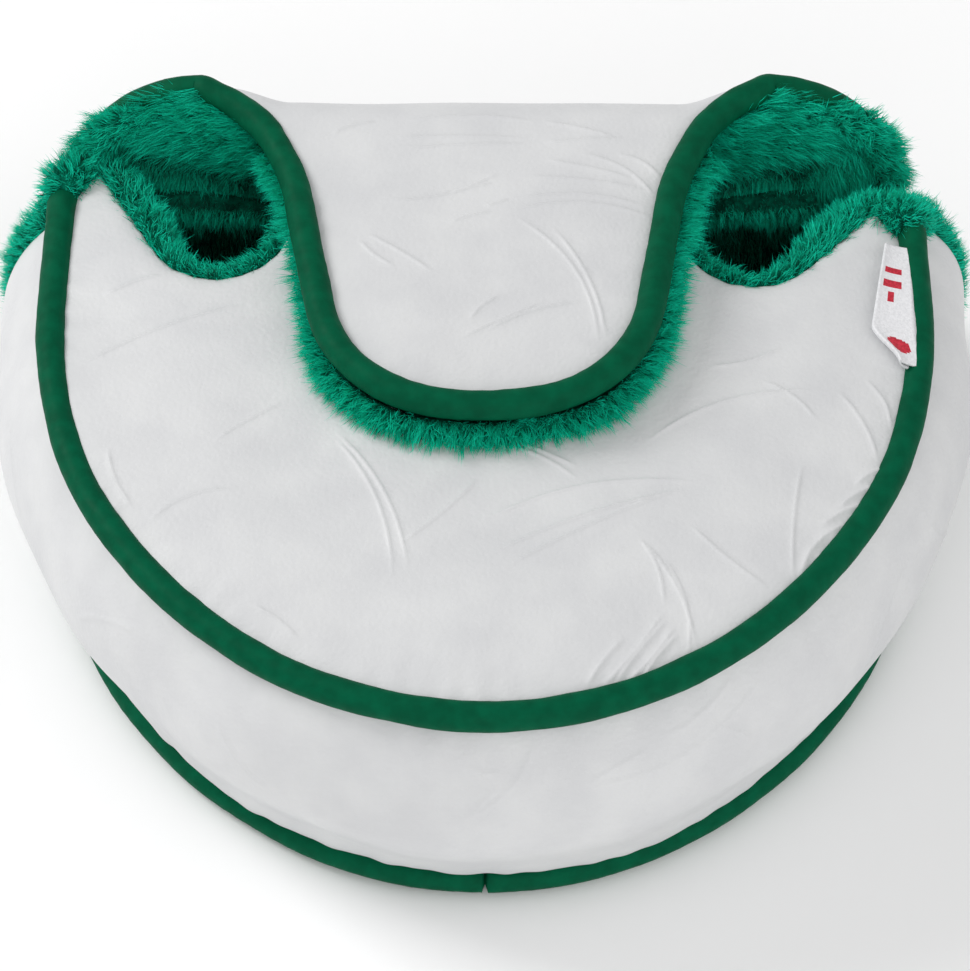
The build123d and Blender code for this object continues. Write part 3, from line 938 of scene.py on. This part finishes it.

# %% [markdown]
# ### Growing fibres
# A fibre rises along the cloth's normal, lays over along the combing direction, and leans toward
# the leader of its tuft. Ribbons of three short faces are enough: they taper to a point and bend,
# and hundreds of thousands of them still render quickly.

# %% Grow fibres
# The offset given last steps a piece's greens lighter or darker, one value for all fibres or one each:
# painted light above zero, painted shade below.
def fur(name, roots, lift, comb, length, width, seed, tuft=2.2, gather=0.27, painted_shading=0.0):
    """Fibres from roots. Each rises along lift, lays over along comb and leans to its tuft."""
    draw = np.random.default_rng(seed)
    count = len(roots)
    length = np.broadcast_to(length, count) * draw.uniform(0.7, 1.12, count)
    leaders = draw.choice(count, max(1, int(count / max(1.0, tuft))), replace=False)
    group = closest(roots[leaders], roots)
    lead = leaders[group]
    tuft_turn = draw.normal(0, 0.20, (len(leaders), 3))[group]
    own_turn = draw.normal(0, 0.24, (count, 3))
    comb = comb + tuft_turn + own_turn
    steps = np.array([0.0, 0.38, 0.72, 1.0])
    phase = draw.uniform(0, 6.28, (count, 3))
    path = []
    for t in steps:
        rise = lift * (t - 0.42 * t * t)
        lay = comb * (0.30 * t + 0.70 * t * t)
        p = roots + (rise + lay) * length[:, None]
        p += 0.10 * np.sin(phase + 5 * t) * t
        path.append(p)
    for i, t in enumerate(steps):
        pull = gather * t ** 1.3
        path[i] = path[i] * (1 - pull) + path[i][lead] * pull
    side = unit(np.cross(path[3] - path[0], draw.normal(0, 1, (count, 3))))
    shape = [1.0, 0.95, 0.62]
    width = np.broadcast_to(width, count) * draw.uniform(0.8, 1.25, count)
    points = []
    for i in range(3):
        half = side * (width * shape[i] / 2)[:, None]
        points += [path[i] - half, path[i] + half]
    points.append(path[3])
    points = np.stack(points, axis=1).reshape(-1, 3)
    first = np.arange(count)[:, None] * 7
    lower = first + [0, 1, 3, 2]
    middle = first + [2, 3, 5, 4]
    tip = first + [4, 5, 6]
    # Random tone of tufts and fibres, plus the offset that paints light or shade.
    tone_and_painted_shading = draw.normal(0, 0.55, len(leaders))[group] + draw.normal(0, 0.5, count) + painted_shading
    # Root faces take darker greens and tip faces lighter ones: painted shade at the root, painted light at
    # the tip.
    slots = [np.clip(np.rint(tone_and_painted_shading + base), 0, len(greens) - 1).astype(int) for base in (0.9, 2.6, 3.7)]
    faces = lower.tolist() + middle.tolist() + tip.tolist()
    return make_object(name, points, faces, fibre_greens, np.concatenate(slots))


print("each face of a fibre takes one of", len(fibre_greens), "greens")

# %% [markdown]
# ### Rolls and backings
# Two shapes carry the pile: a soft roll swept along a line, for edges, and a sheet with some
# thickness behind it, for linings. The roll may change its radius along the way.

# %% Helpers for rolls and backings
def roll(path, radius, sides=14):
    """Points, faces and outward normals of a thick soft tube."""
    tangent = directions(path)
    reference = np.tile([0.05, 0.3, -1.0], (len(path), 1))
    side = unit(np.cross(tangent, reference))
    other = np.cross(tangent, side)
    turn = np.linspace(0, 2 * math.pi, sides, endpoint=False)
    ring = side[:, None, :] * np.cos(turn)[None, :, None] + other[:, None, :] * np.sin(turn)[None, :, None]
    size = np.broadcast_to(radius, len(path))[:, None, None]
    points = (path[:, None, :] + ring * size).reshape(-1, 3)
    faces = []
    for i in range(len(path) - 1):
        for j in range(sides):
            k = (j + 1) % sides
            faces.append((i * sides + j, i * sides + k, (i + 1) * sides + k, (i + 1) * sides + j))
    faces.append(tuple(range(sides))[::-1])
    faces.append(tuple((len(path) - 1) * sides + j for j in range(sides)))
    return points, faces


def grid_faces(rows, columns):
    """Quads of a grid of points, row by row."""
    a = (np.arange(rows - 1)[:, None] * columns + np.arange(columns - 1)[None, :]).ravel()
    return np.column_stack([a, a + columns, a + columns + 1, a + 1]).tolist()


def backing(name, points, faces, thickness, nodes):
    """The cloth under the pile: its front face is given, its thickness goes behind it."""
    skin = make_object(name, points, faces, [plush_backing])
    thicken(skin, thickness)
    if nodes:
        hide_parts(*nodes)
    return skin


short_line = np.array([[0, 0, 0], [1, 0, 0], [2, 0, 0]], float)
print("a roll of three rings has", len(roll(short_line, 1.0)[0]), "points")

# %% [markdown]
# ## Plush behind the openings
# The rear wall's lining is the part that shows most, in the two ears. It closes into the seam at
# the ear's edge and swells below, and a crease crosses it. Its outline is drawn on the wall, and
# each point is then moved forward, so the cloth stays one sheet.

# %% The rear wall's lining
wall_top = ear_top - fold_r
on_wall = strip_line[(strip_line[:, 1] > 0) & (strip_line[:, 1] < wall_top + 1.2)
                     & (strip_line[:, 0] > 31.5)]
ear_line = on_wall + [0, fold_r]
ear_edge = even(np.vstack([ear_line[::-1], ear_line[:1] + [0, 0.05]]), 0.6)
neck = [[37.0, ear_top - 0.3], [33.5, ear_top - 0.8], [30.5, ear_top - 2.0], [28.5, 41.5]]
ear_edge = np.vstack([ear_edge, neck])
rear_outline = np.vstack([ear_edge, ear_edge[::-1] * [-1, 1]])
rear_outline = even(np.vstack([rear_outline, rear_outline[:1]]), 0.6)[:-1]
ear_right_line = even(ear_line, 0.5)


def crease_height(x):
    """Height of the crease above the sagging roll: it climbs toward the outside."""
    return 36.0 + 0.3 * (np.abs(x) - 28)


def rear_face(x, z):
    """How far forward the lining's pile stands, as a y for each place on the wall."""
    flat = np.column_stack([np.abs(x), z])
    gap = nearest(ear_right_line, flat)[1]
    swell = 5.4 * (1 - np.exp(-gap / 3.0))
    open_part = np.clip((np.abs(x) - 22) / 6, 0, 1)
    crease = 2.6 * np.exp(-((z - crease_height(x)) / 1.3) ** 2) * open_part
    return 52.8 - swell + crease + 0.35 * waves(x, z, 7, 61)


flat, faces = cut_panel(rear_outline, 1.0)
depth = rear_face(flat[:, 0], flat[:, 1])
rear_points = np.column_stack([flat[:, 0], depth, flat[:, 1]])
faces = facing(rear_points, faces, np.tile([0, -1, 0], (len(flat), 1)))
rear_lining = backing("rear_lining", rear_points, faces, 1.2, ["rear_wall_lining", "rear_wall_padding"])

# %% [markdown]
# ### The pile of the rear lining
# The pile is combed outward at the ears and down below the crease. It is thinned out where the
# tongue or the rim hides it, and in the crease, so that the dark backing shows there as painted
# shade. Fibres in the crease and low on the wall take dark greens, painted shade of the crease and
# of the slit under the roll; the rest take lighter greens, painted light. Hidden fibres are wider,
# so that fewer of them cover the cloth.

# %% Pile of the rear wall's lining
roots, lift = sprinkle(rear_points, faces, 34, 71)
outer = np.abs(roots[:, 0])
seen = (outer > 24) & (roots[:, 2] > 20)
thin = np.random.default_rng(72).random(len(roots)) < 0.10
roots, lift = roots[seen | thin], lift[seen | thin]
outer = np.abs(roots[:, 0])
sign = np.sign(roots[:, 0])
gap = nearest(ear_right_line, np.column_stack([outer, roots[:, 2]]))[1]
rim = np.exp(-gap / 3.5)
above = np.clip((roots[:, 2] - crease_height(outer)) / 2.0, 0, 1)[:, None]
down_comb = np.column_stack([sign * 0.15, np.full(len(outer), -0.35), np.full(len(outer), -0.85)])
turned = 0.35 - 0.9 * np.clip((outer - 36) / 18, 0, 1)
flow = np.column_stack([sign * 0.85, np.full(len(outer), -0.22), turned])
comb = unit(down_comb * (1 - above) + flow * above) * 0.9
in_crease = np.abs(roots[:, 2] - crease_height(outer)) < 1.0
dim = np.random.default_rng(75).random(len(roots))
keep = ~((in_crease & (outer > 27) & (outer < 50) & (dim < 0.85)) | ((roots[:, 2] < 28.0) & (dim < 0.5)))
roots, lift, outer, comb, rim = roots[keep], lift[keep], outer[keep], comb[keep], rim[keep]
seen = (outer > 24) & (roots[:, 2] > 20)
# Painted shade: darker greens in the crease and low on the wall, in the slit under the roll; the rest a
# little lighter, painted light.
painted_crease_shade = np.exp(-((roots[:, 2] - crease_height(outer)) / 1.8) ** 2) * (outer < 50)
painted_shading = 0.6 - 2.6 * painted_crease_shade - 2.8 * (roots[:, 2] < 30.5)
is_right = roots[:, 0] > 0
size = np.where(outer > 24, 3.1, 3.0) + 0.7 * rim * (outer > 44)
wide = np.where(seen, 0.12, 0.3)
rear_fur = [fur("rear_pile_right", roots[is_right], lift[is_right] * 0.5, comb[is_right],
                size[is_right], wide[is_right], 73, tuft=20, painted_shading=painted_shading[is_right]),
            fur("rear_pile_left", roots[~is_right], lift[~is_right] * 0.5, comb[~is_right],
                size[~is_right], wide[~is_right], 74, tuft=20, painted_shading=painted_shading[~is_right])]

# %% [markdown]
# ### The roll over the ear
# At the ear's outer edge the plush is thicker than the piping and rolls over it, so the piping
# disappears under the pile. A roll that grows from nothing at the top of the ear does that.

# %% The roll over the ear's outer edge
ear_rolls = []
for side, word in SIDES:
    outer_part = ear_right_line[(ear_right_line[:, 0] > 45.0) & (ear_right_line[:, 1] > 22.0)]
    way = directions(outer_part)
    out_way = np.column_stack([way[:, 1], -way[:, 0]])
    out_way *= np.sign((out_way * (outer_part - [42, 30])).sum(axis=1))[:, None]
    grow = np.clip((outer_part[:, 0] - 45.0) / 7.0, 0, 1)
    shifted = outer_part + out_way * (-1.2 + (2.2 + 0.5 * (side > 0)) * grow)[:, None]
    path = np.column_stack([side * shifted[:, 0], 50.0 + 0.6 * grow, shifted[:, 1]])
    path = soften(path, 1.2, 0.5)
    points, faces = roll(path, 0.6 + 1.5 * np.clip((np.abs(path[:, 0]) - 45.0) / 7.0, 0, 1))
    skin = make_object(f"ear_roll_{word}", points, faces, [plush_backing])
    roots, lift, index = roots_on_roll(path, points, faces, 26, 110 + side)
    keep = lift[:, 1] < 0.75
    roots, lift, index = roots[keep], lift[keep], index[keep]
    outward_way = unit(path[index] - np.array([side * 42.0, 50.3, 30.0]))
    comb = outward_way * 0.45 + [side * 0.15, -0.05, -0.35]
    # The rolled edge takes lighter greens, painted light.
    pile = fur(f"ear_pile_{word}", roots, lift * 0.45, comb, 2.4, 0.11, 115 + side, tuft=12, painted_shading=0.75)
    ear_rolls += [skin, pile]

# %% [markdown]
# ## The sagging roll
# Long pile on a loose backing sags: below the ear the lining falls forward into one soft roll,
# thin beside the tongue and thick toward the outside. It shades the slit below it, and the pile
# there is painted dark too, so that slit is nearly black. A tapered tube with its own pile, combed
# down, shows both. Fibres on top of the roll take dark greens, painted shade of the crease above
# it, and the rest take lighter greens, painted light.

# %% The sagging roll of the rear lining
for side, word in SIDES:
    across = np.arange(25.5, 47.0, 0.5)
    thick = 0.9 + 1.1 * np.clip((across - 26.0) / 14.0, 0, 1)
    path = np.column_stack([side * across, 46.9 - 0.8 * thick, 31.0 + thick + 0.10 * (across - 26.0)])
    points, faces = roll(path, thick)
    skin = make_object(f"sag_roll_{word}", points, faces, [plush_backing])
    roots, lift = sprinkle(points, faces[:-2], 24, 141 + side)
    index = np.clip(np.rint((np.abs(roots[:, 0]) - 25.5) / 0.5).astype(int), 0, len(path) - 1)
    lift = unit(roots - path[index])
    keep = (lift[:, 1] < 0.5) & (lift[:, 2] > -0.75)
    roots, lift = roots[keep], lift[keep]
    comb = np.tile([side * 0.15, -0.15, -0.75], (len(roots), 1))
    # Top fibres dark, painted shade of the crease above; the rest lighter, painted light.
    painted_shading = 1.1 - 3.6 * np.clip((lift[:, 2] - 0.5) / 0.3, 0, 1)
    pile = fur(f"sag_pile_{word}", roots, lift * 0.5, comb, 1.8, 0.11, 145 + side, tuft=12, painted_shading=painted_shading)
    ear_rolls += [skin, pile]

# %% [markdown]
# ## The rim of the opening
# The top panel's plush is rolled out past the leather round both scallops and on down the side
# wall's rear edge. It is one soft roll, so it is swept along one line in space on each side.

# %% Sweep the rolled rim
def rim_path(side):
    """Centre line of the roll on one side, from the tab to the foot."""
    edge = rear_edge[rear_edge[:, 0] * side > 0]
    edge = edge if side > 0 else edge[::-1]
    out_way = directions(edge)
    out_way = np.column_stack([-out_way[:, 1], out_way[:, 0]]) * side
    top = edge + out_way * 0.9
    z = top_height(top[:, 0], top[:, 1]) - 2.4
    upper = np.column_stack([top, z])
    upper = upper[np.abs(upper[:, 0]) < 55.5]
    last = edge[-1, 1]
    corner = [[side * (seam_half + 0.3), last + 1.2, seam_height + 1.0]]
    keep = (high < seam_height - 4) & (high > 4.5)
    down = np.column_stack([side * (seam_half + out[keep] - 2.2), np.full(keep.sum(), 40.6), high[keep]])
    return soften(np.vstack([upper, corner, down[::-1]]), 1.6, 0.5)


rim_fur = []
rim_skins = []
for side, word in SIDES:
    path = rim_path(side)
    wide_part = np.clip((np.abs(path[:, 0]) - 40) / 8, 0, 1)
    points, faces = roll(path - np.outer(wide_part, [side * 0.8, -0.4, 0.3]), 1.6 + 1.0 * wide_part)
    skin = make_object(f"rim_{word}", points, faces, [plush_backing])
    rim_skins.append(skin)
    roots, lift, index = roots_on_roll(path, points, faces, 22, 81 + side)
    along = directions(path)[index]
    place = index / (len(path) - 1)
    falls = np.clip((place - 0.62) / 0.1, 0, 1)[:, None]
    comb = (1 - falls) * np.array([[0.0, 0.25, -0.25]]) + falls * np.array([[side * 0.35, 0.75, -0.25]])
    comb = comb + 0.25 * along
    # Fibres on the underside of the roll take darker greens, painted shade; the rest take lighter ones,
    # painted light.
    under = (lift[:, 2] < -0.5) & (falls[:, 0] < 0.5)
    hidden_part = (np.abs(roots[:, 0]) < 22)
    keep = ~hidden_part | (np.random.default_rng(9).random(len(roots)) < 0.15)
    painted_shading = np.where(under, -1.2, 0.8)
    rim_fur.append(fur(f"rim_pile_{word}", roots[keep], lift[keep] * 0.85, comb[keep] * 0.8,
                       2.5 - 0.4 * falls[keep, 0], 0.11, 85 + side, tuft=16, painted_shading=painted_shading[keep]))

# %% [markdown]
# ## Plush inside the pouch
# The lining of the top, the side and the bottom is only seen through the openings, so its pile is
# thinner here, and its fibres take darker greens, painted shade of the inside of the pouch. A mottled
# backing under it keeps it soft to look at.

# %% Lining of the top
flat, faces = cut_panel(even(np.vstack([top_outline, top_outline[:1]]), 1.2)[:-1], 1.3)
shrink = nearest(seam, flat)[1]
depth = top_height(flat[:, 0], flat[:, 1]) - 3.2 - 1.4 * np.exp(-shrink / 3)
top_under = np.column_stack([flat, depth - 2.6])
top_faces = facing(top_under, faces, np.tile([0, 0, -1], (len(flat), 1)))
top_lining = backing("top_plush_backing", top_under, top_faces, 2.4, ["top_lining", "top_padding"])
roots, lift = sprinkle(top_under, top_faces, 2.2, 91)
# Darker greens: painted shade inside the pouch.
top_fur = fur("top_pile", roots, lift * 0.7, np.tile([0.0, 0.4, -0.1], (len(roots), 1)), 3.6, 0.32, 92,
              tuft=5, painted_shading=-1.8)

# %% [markdown]
# ### Lining of the side
# The lining hangs a few millimetres inside the leather, with foam between them. It uses the same
# sections as the leather's, moved inward, so it follows the same curve. Near the two seams there
# is no room for it, so those points are left out.

# %% Lining of the side
inner = (high > 6.2) & (high < 35.0)
lining_gap = 4.8
inner_out = (out - slack)[inner][None, :] * ease[::2][:, None] - lining_gap
place = wall_line[::2][:, None, :] + wall_normal[::2][:, None, :] * inner_out[..., None]
heights = np.broadcast_to(high[inner][None, :], place.shape[:2])
side_points = np.dstack([place, heights]).reshape(-1, 3)
side_faces = grid_faces(place.shape[0], place.shape[1])
side_faces = facing(side_points, side_faces, [0, 10, 20] - side_points)
side_lining = backing("side_lining", side_points, side_faces, 2.6,
                      ["side_wall_lining", "side_wall_padding"])
roots, lift = sprinkle(side_points, side_faces, 2.4, 93)
# Darker greens: painted shade inside the pouch.
side_fur = fur("side_pile", roots, lift * 0.7, np.tile([0.0, 0.3, -0.5], (len(roots), 1)), 3.8, 0.32, 94,
               tuft=5, painted_shading=-1.7)

# %% [markdown]
# ### Lining of the bottom
# The club head rests on this pile. Its cloth is the bottom's outline drawn a little toward its
# middle, so it stays inside the seam. It lies just above the leather, with slow hills in it.

# %% Lining of the bottom
behind = wall_face - fold_r - (-lower_part[:, 1] - quarter * fold_r)
lower_flat = np.column_stack([lower_part[:, 0], behind])
lower_flat = lower_flat[lower_part[:, 1] < -quarter * fold_r - 0.5]
centre = np.array([0, 5.0])
floor_line = centre + (lower_flat - centre) * 0.93
floor_line = even(np.vstack([floor_line, floor_line[:1]]), 1.4)[:-1]
flat, faces = cut_panel(floor_line, 1.6)
hills = 0.3 * waves(flat[:, 0], flat[:, 1], 9, 95)
bottom_points = np.column_stack([flat, np.full(len(flat), 5.4) + hills])
faces = facing(bottom_points, faces, np.tile([0, 0, 1], (len(flat), 1)))
bottom_lining = backing("bottom_plush_backing", bottom_points, faces, 2.2,
                        ["bottom_lining", "bottom_padding"])
roots, lift = sprinkle(bottom_points, faces, 2.4, 96)
# Darker greens: painted shade inside the pouch.
bottom_fur = fur("bottom_pile", roots, lift * 0.8, np.tile([0.1, 0.5, 0.0], (len(roots), 1)), 3.8, 0.32,
                 97, tuft=5, painted_shading=-1.5)

# %% [markdown]
# ## Plush under the tongue
# The tongue's lining is a little larger than the tongue, so its pile shows as a fringe past the
# piping. The fringe is long at the tip and the right side and short at the upper left.

# %% The tongue's lining
tongue_rows = strip_outline[:, 1] > fold_end + 1.0
tongue_flat = strip_outline[tongue_rows]
tongue_plan = np.column_stack([tongue_flat[:, 0], wall_face - fold_r - (tongue_flat[:, 1] - fold_end)])
plan_line = even(np.vstack([tongue_plan, tongue_plan[:1]]), 0.8)[:-1]
flat, faces = cut_panel(plan_line, 1.0)
edge = even(tongue_plan, 0.5)
gap = nearest(edge, flat)[1]
tongue_points = np.column_stack([flat, np.full(len(flat), lining_top - 3.6) + 2.4 * np.exp(-gap / 2.0)])
faces = facing(tongue_points, faces, np.tile([0, 0, -1], (len(flat), 1)))
print("tongue lining from", tongue_points.min(axis=0).round(1), "to", tongue_points.max(axis=0).round(1))
tongue_lining = backing("tongue_plush_backing", tongue_points, faces, 1.5,
                        ["tongue_lining", "tongue_padding"])
roots, lift = sprinkle(tongue_points, faces, 2.6, 101)
# Darker greens: painted shade under the tongue.
under_fur = fur("tongue_pile", roots, lift * 0.7, np.tile([0.0, -0.4, -0.2], (len(roots), 1)), 3.4, 0.32,
                102, tuft=5, painted_shading=-0.8)

# %% [markdown]
# ### The fringe
# The pile that shows past the piping grows on a thin roll along the lining's edge, and all of it
# leans outward. Very fine fibres in small tufts make its soft outline.

# %% The fringe of the tongue
edge_way = directions(edge)
edge_out = np.column_stack([edge_way[:, 1], -edge_way[:, 0]])
middle = edge.mean(axis=0)
edge_out *= np.sign((edge_out * (edge - middle)).sum(axis=1))[:, None]
upper_left = np.clip((edge[:, 1] - 6) / 12, 0, 1) * (edge[:, 0] < 0)
poke = 1.2 - 1.4 * upper_left + 0.3 * waves(edge[:, 0], edge[:, 1], 8, 104)
fringe_path = np.column_stack([edge + edge_out * poke[:, None], np.full(len(edge), lining_top - 1.7)])
fringe_path = soften(fringe_path[fringe_path[:, 1] < 44], 1.0, 0.5)
points, faces = roll(fringe_path, 1.3)
fringe_skin = make_object("tongue_roll", points, faces, [plush_backing])
roots, lift, index = roots_on_roll(fringe_path, points, faces, 33, 105)
way = directions(fringe_path)[index]
out_way = np.column_stack([way[:, 1], -way[:, 0], np.zeros(len(way))])
out_way *= np.sign((out_way[:, :2] * (fringe_path[index][:, :2] - middle)).sum(axis=1))[:, None]
outer_side = (lift * out_way).sum(axis=1) > -0.35
roots, lift, out_way = roots[outer_side], lift[outer_side], out_way[outer_side]
comb = out_way * 0.62 + [0, 0, -0.05]
# Lighter greens: painted light on the fringe, which lies in the tongue's shade.
fringe = fur("tongue_fringe", roots, lift * 0.5, comb, 2.4, 0.10, 106, tuft=9, painted_shading=1.6)

# %% [markdown]
# ## Plush inside the two folds
# The strip is lined all the way round its folds, so no bare leather shows when the flap or the
# rear wall is opened. Each lining follows its fold.

# %% The linings inside the folds
def fold_cloth(name, half, low, high, seed):
    """A lined band inside a fold: half its width, and where it starts and stops on the strip."""
    rows = int((high - low) / 0.7)
    columns = np.linspace(-half, half, int(half * 2))
    x, u = np.meshgrid(columns, np.linspace(low, high, rows), indexing="xy")
    surface, normal = strip_surface(x.ravel(), u.ravel())
    points = surface - normal * 3.4
    faces = facing(points, grid_faces(rows, x.shape[1]), -normal)
    skin = backing(f"{name}_lining", points, faces, 2.0, [])
    roots, lift = sprinkle(points, faces, 3.6, seed)
    comb = np.tile([0.0, -0.1, -0.6], (len(roots), 1))
    # Darker greens: painted shade inside the folds.
    return skin, fur(f"{name}_pile", roots, lift * 0.6, comb, 3.0, 0.22, seed + 1, tuft=8, painted_shading=-0.6)


ridge_lining, ridge_fur = fold_cloth("ridge", 30.5, 34.0, fold_end + 5.0, 121)
hinge_lining, hinge_fur = fold_cloth("hinge", foot_half - 3.5, -quarter * fold_r - 5.0, 9.0, 131)
print("ridge and hinge lined")

# %% [markdown]
# ## The label
# A small woven label is folded once and caught in the top seam on the right. It is white satin
# with a few red woven marks. It lies on the leather and its folded edge stands up a little.

# %% Cloth and thread of the label
tag_white, tree, shader = new_material("tag cloth", (0.82, 0.82, 0.84), 0.5)
mottle(tree, shader.inputs["Base Color"], (0.76, 0.76, 0.78), (0.85, 0.85, 0.87), 0.4)
grain(tree, shader, [("noise", 0.3, 0.12)], 0.8)
tag_red, tree, shader = new_material("tag red thread", (0.55, 0.01, 0.03), 0.55)
mottle(tree, shader.inputs["Base Color"], (0.42, 0.005, 0.02), (0.66, 0.02, 0.05), 0.4)
grain(tree, shader, [("noise", 0.3, 0.12)], 0.8)

print("label cloths:", tag_white.name, "and", tag_red.name)

# %% [markdown]
# ### Folding the label
# The cloth leaves the seam, turns over at its folded edge and comes back on top of itself. Rows of
# points run along it, so each row can be lifted and waved a little. The marks are plain bars and a
# round spot, chosen by where a face lies on the cloth.

# %% Fold the label
tag_length, tag_columns, tag_rows = 21.0, 85, 41
tag_low = box_mm("side_tag")[0]
t = np.linspace(0, 1, tag_columns)
root_line = np.column_stack([np.full(tag_columns, seam_half - 0.6), tag_low[1] + tag_length * t])
near_end = np.clip(t / 0.3, 0, 1)
reach = 2.6 + 3.4 * near_end * near_end * (3 - 2 * near_end) - 2.6 * np.clip((t - 0.3) / 0.7, 0, 1)
fold_x = root_line[:, 0] - reach
rows = []
for j in range(tag_rows):
    v = j / (tag_rows - 1) * 2
    share = v if v <= 1 else 2 - v
    layer = 1 if v > 1 else 0
    x = root_line[:, 0] + (fold_x - root_line[:, 0]) * math.sin(share * quarter) ** 0.9
    base = top_height(x, root_line[:, 1]) + 0.35
    over = 0.75 * math.sqrt(max(0.0, 1 - share ** 6)) + 0.15 * math.sin(3 * share)
    lift = 1.4 * share ** 2 + layer * over
    wave = 0.18 * np.sin(t * 9 + 1.0) * share
    rows.append(np.column_stack([x, root_line[:, 1], base + lift + wave]))
points = np.stack(rows, axis=0).reshape(-1, 3)
faces = grid_faces(tag_rows, tag_columns)
slots = []
for f in faces:
    j, i = divmod(f[0], tag_columns)
    across, along = j / (tag_rows - 1) * 2 - 1, i / tag_columns
    bar = 0.30 < across < 0.80 and (0.62 < along < 0.68 or 0.74 < along < 0.78)
    dash = 0.45 < across < 0.62 and 0.50 < along < 0.58
    blob = (across - 0.55) ** 2 / 0.09 + (along - 0.14) ** 2 / 0.004 < 1
    slots.append(1 if bar or dash or blob else 0)
side_tag = make_object("side_tag_cloth", points, faces, [tag_white, tag_red], slots)
tag_cloth = side_tag.modifiers.new("thickness", "SOLIDIFY")
tag_cloth.thickness, tag_cloth.offset = 0.3 * MM, 0
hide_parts("side_tag")
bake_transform(side_tag)

# %% [markdown]
# ## The floor
# The cover stands on a pale matt floor, which fills the shadows with soft light from below. It is
# staging and not part of the object.

# %% The floor
floor_mesh = bpy.data.meshes.new("floor")
floor_size = 2.0
floor_mesh.from_pydata([(-floor_size, -floor_size, 0), (floor_size, -floor_size, 0),
                        (floor_size, floor_size, 0), (-floor_size, floor_size, 0)], [], [(0, 1, 2, 3)])
floor = bpy.data.objects.new("floor", floor_mesh)
bpy.context.scene.collection.objects.link(floor)
floor_paint, tree, shader = new_material("pale floor", (0.97, 0.97, 0.97), 0.9, 0.05)
floor_mesh.materials.append(floor_paint)
print("floor", 2 * floor_size, "m wide")

# %% [markdown]
# ## Lights
# Two wide soft lights and a bright world keep the shadows pale, as in a bright room. The third
# light is small and stands at the back left. It rakes over the leather, so the pressed strokes
# show as ridges.

# %% Lights
def soft_light(name, place, size, power, colour=(1, 1, 1)):
    """A square area light that looks at the object."""
    light = bpy.data.lights.new(name, "AREA")
    light.energy, light.size, light.color = power, size, colour
    lamp = bpy.data.objects.new(name, light)
    lamp.location = place
    lamp.rotation_euler = (Vector((0, 0, 0.03)) - Vector(place)).to_track_quat("-Z", "Y").to_euler()
    bpy.context.scene.collection.objects.link(lamp)
    return lamp


soft_light("key", (-0.68, 0.30, 0.64), 0.35, 4.7)
soft_light("fill", (0.7, -0.4, 0.7), 0.8, 1.8)
soft_light("front", (0.1, -0.9, 0.42), 0.9, 2.3)
world = bpy.data.worlds.new("studio")
world.use_nodes = True
world.node_tree.nodes["Background"].inputs["Color"].default_value = (1, 1, 1, 1)
world.node_tree.nodes["Background"].inputs["Strength"].default_value = 0.58
bpy.context.scene.world = world
bpy.context.scene.view_settings.view_transform = "Standard"
print("world strength", world.node_tree.nodes["Background"].inputs["Strength"].default_value)

# %% [markdown]
# ## Camera
# The camera looks down steeply from the front, so the top, the tongue and both ears show at once.
# The long lens keeps the sides nearly parallel, which suits an object this small.

# %% The camera
elevation, distance = math.radians(53.0), 0.600
aim = Vector((0, 0.0029, 0.025))
eye = aim + Vector((0, -math.cos(elevation), math.sin(elevation))) * distance
camera_data = bpy.data.cameras.new("camera")
camera_data.lens, camera_data.sensor_width = 162.56, 36.0
camera = bpy.data.objects.new("camera", camera_data)
camera.location = eye
camera.rotation_euler = (aim - eye).to_track_quat("-Z", "Y").to_euler()
bpy.context.scene.collection.objects.link(camera)
bpy.context.scene.camera = camera
print("camera at", [round(v, 3) for v in camera.location])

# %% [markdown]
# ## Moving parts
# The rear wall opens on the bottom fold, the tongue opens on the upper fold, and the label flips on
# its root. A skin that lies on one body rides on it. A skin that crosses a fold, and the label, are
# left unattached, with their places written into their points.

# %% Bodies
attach(top_panel, "pouch")
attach(side_wall, "pouch")
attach(upper_piping, "pouch")
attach(lower_piping_right, "pouch")
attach(lower_piping_left, "pouch")
for thing in (base_leather, rear_piping_left, rear_piping_right, hinge_lining, hinge_fur):
    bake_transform(thing)
for thing in (flap_leather, tongue_piping, ridge_lining, ridge_fur):
    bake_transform(thing)
for thing in (top_lining, side_lining, bottom_lining, top_fur, side_fur, bottom_fur,
              *rim_skins, *rim_fur):
    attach(thing, "pouch")
for thing in (rear_lining, *rear_fur, *ear_rolls):
    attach(thing, "rear_wall")
for thing in (tongue_lining, under_fur, fringe_skin, fringe):
    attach(thing, "tongue")

# %% [markdown]
# ## Soft parts
# Leather over foam, linings and rolls are all soft padded forms.

print("padded pieces: leather over foam, linings and rolls")
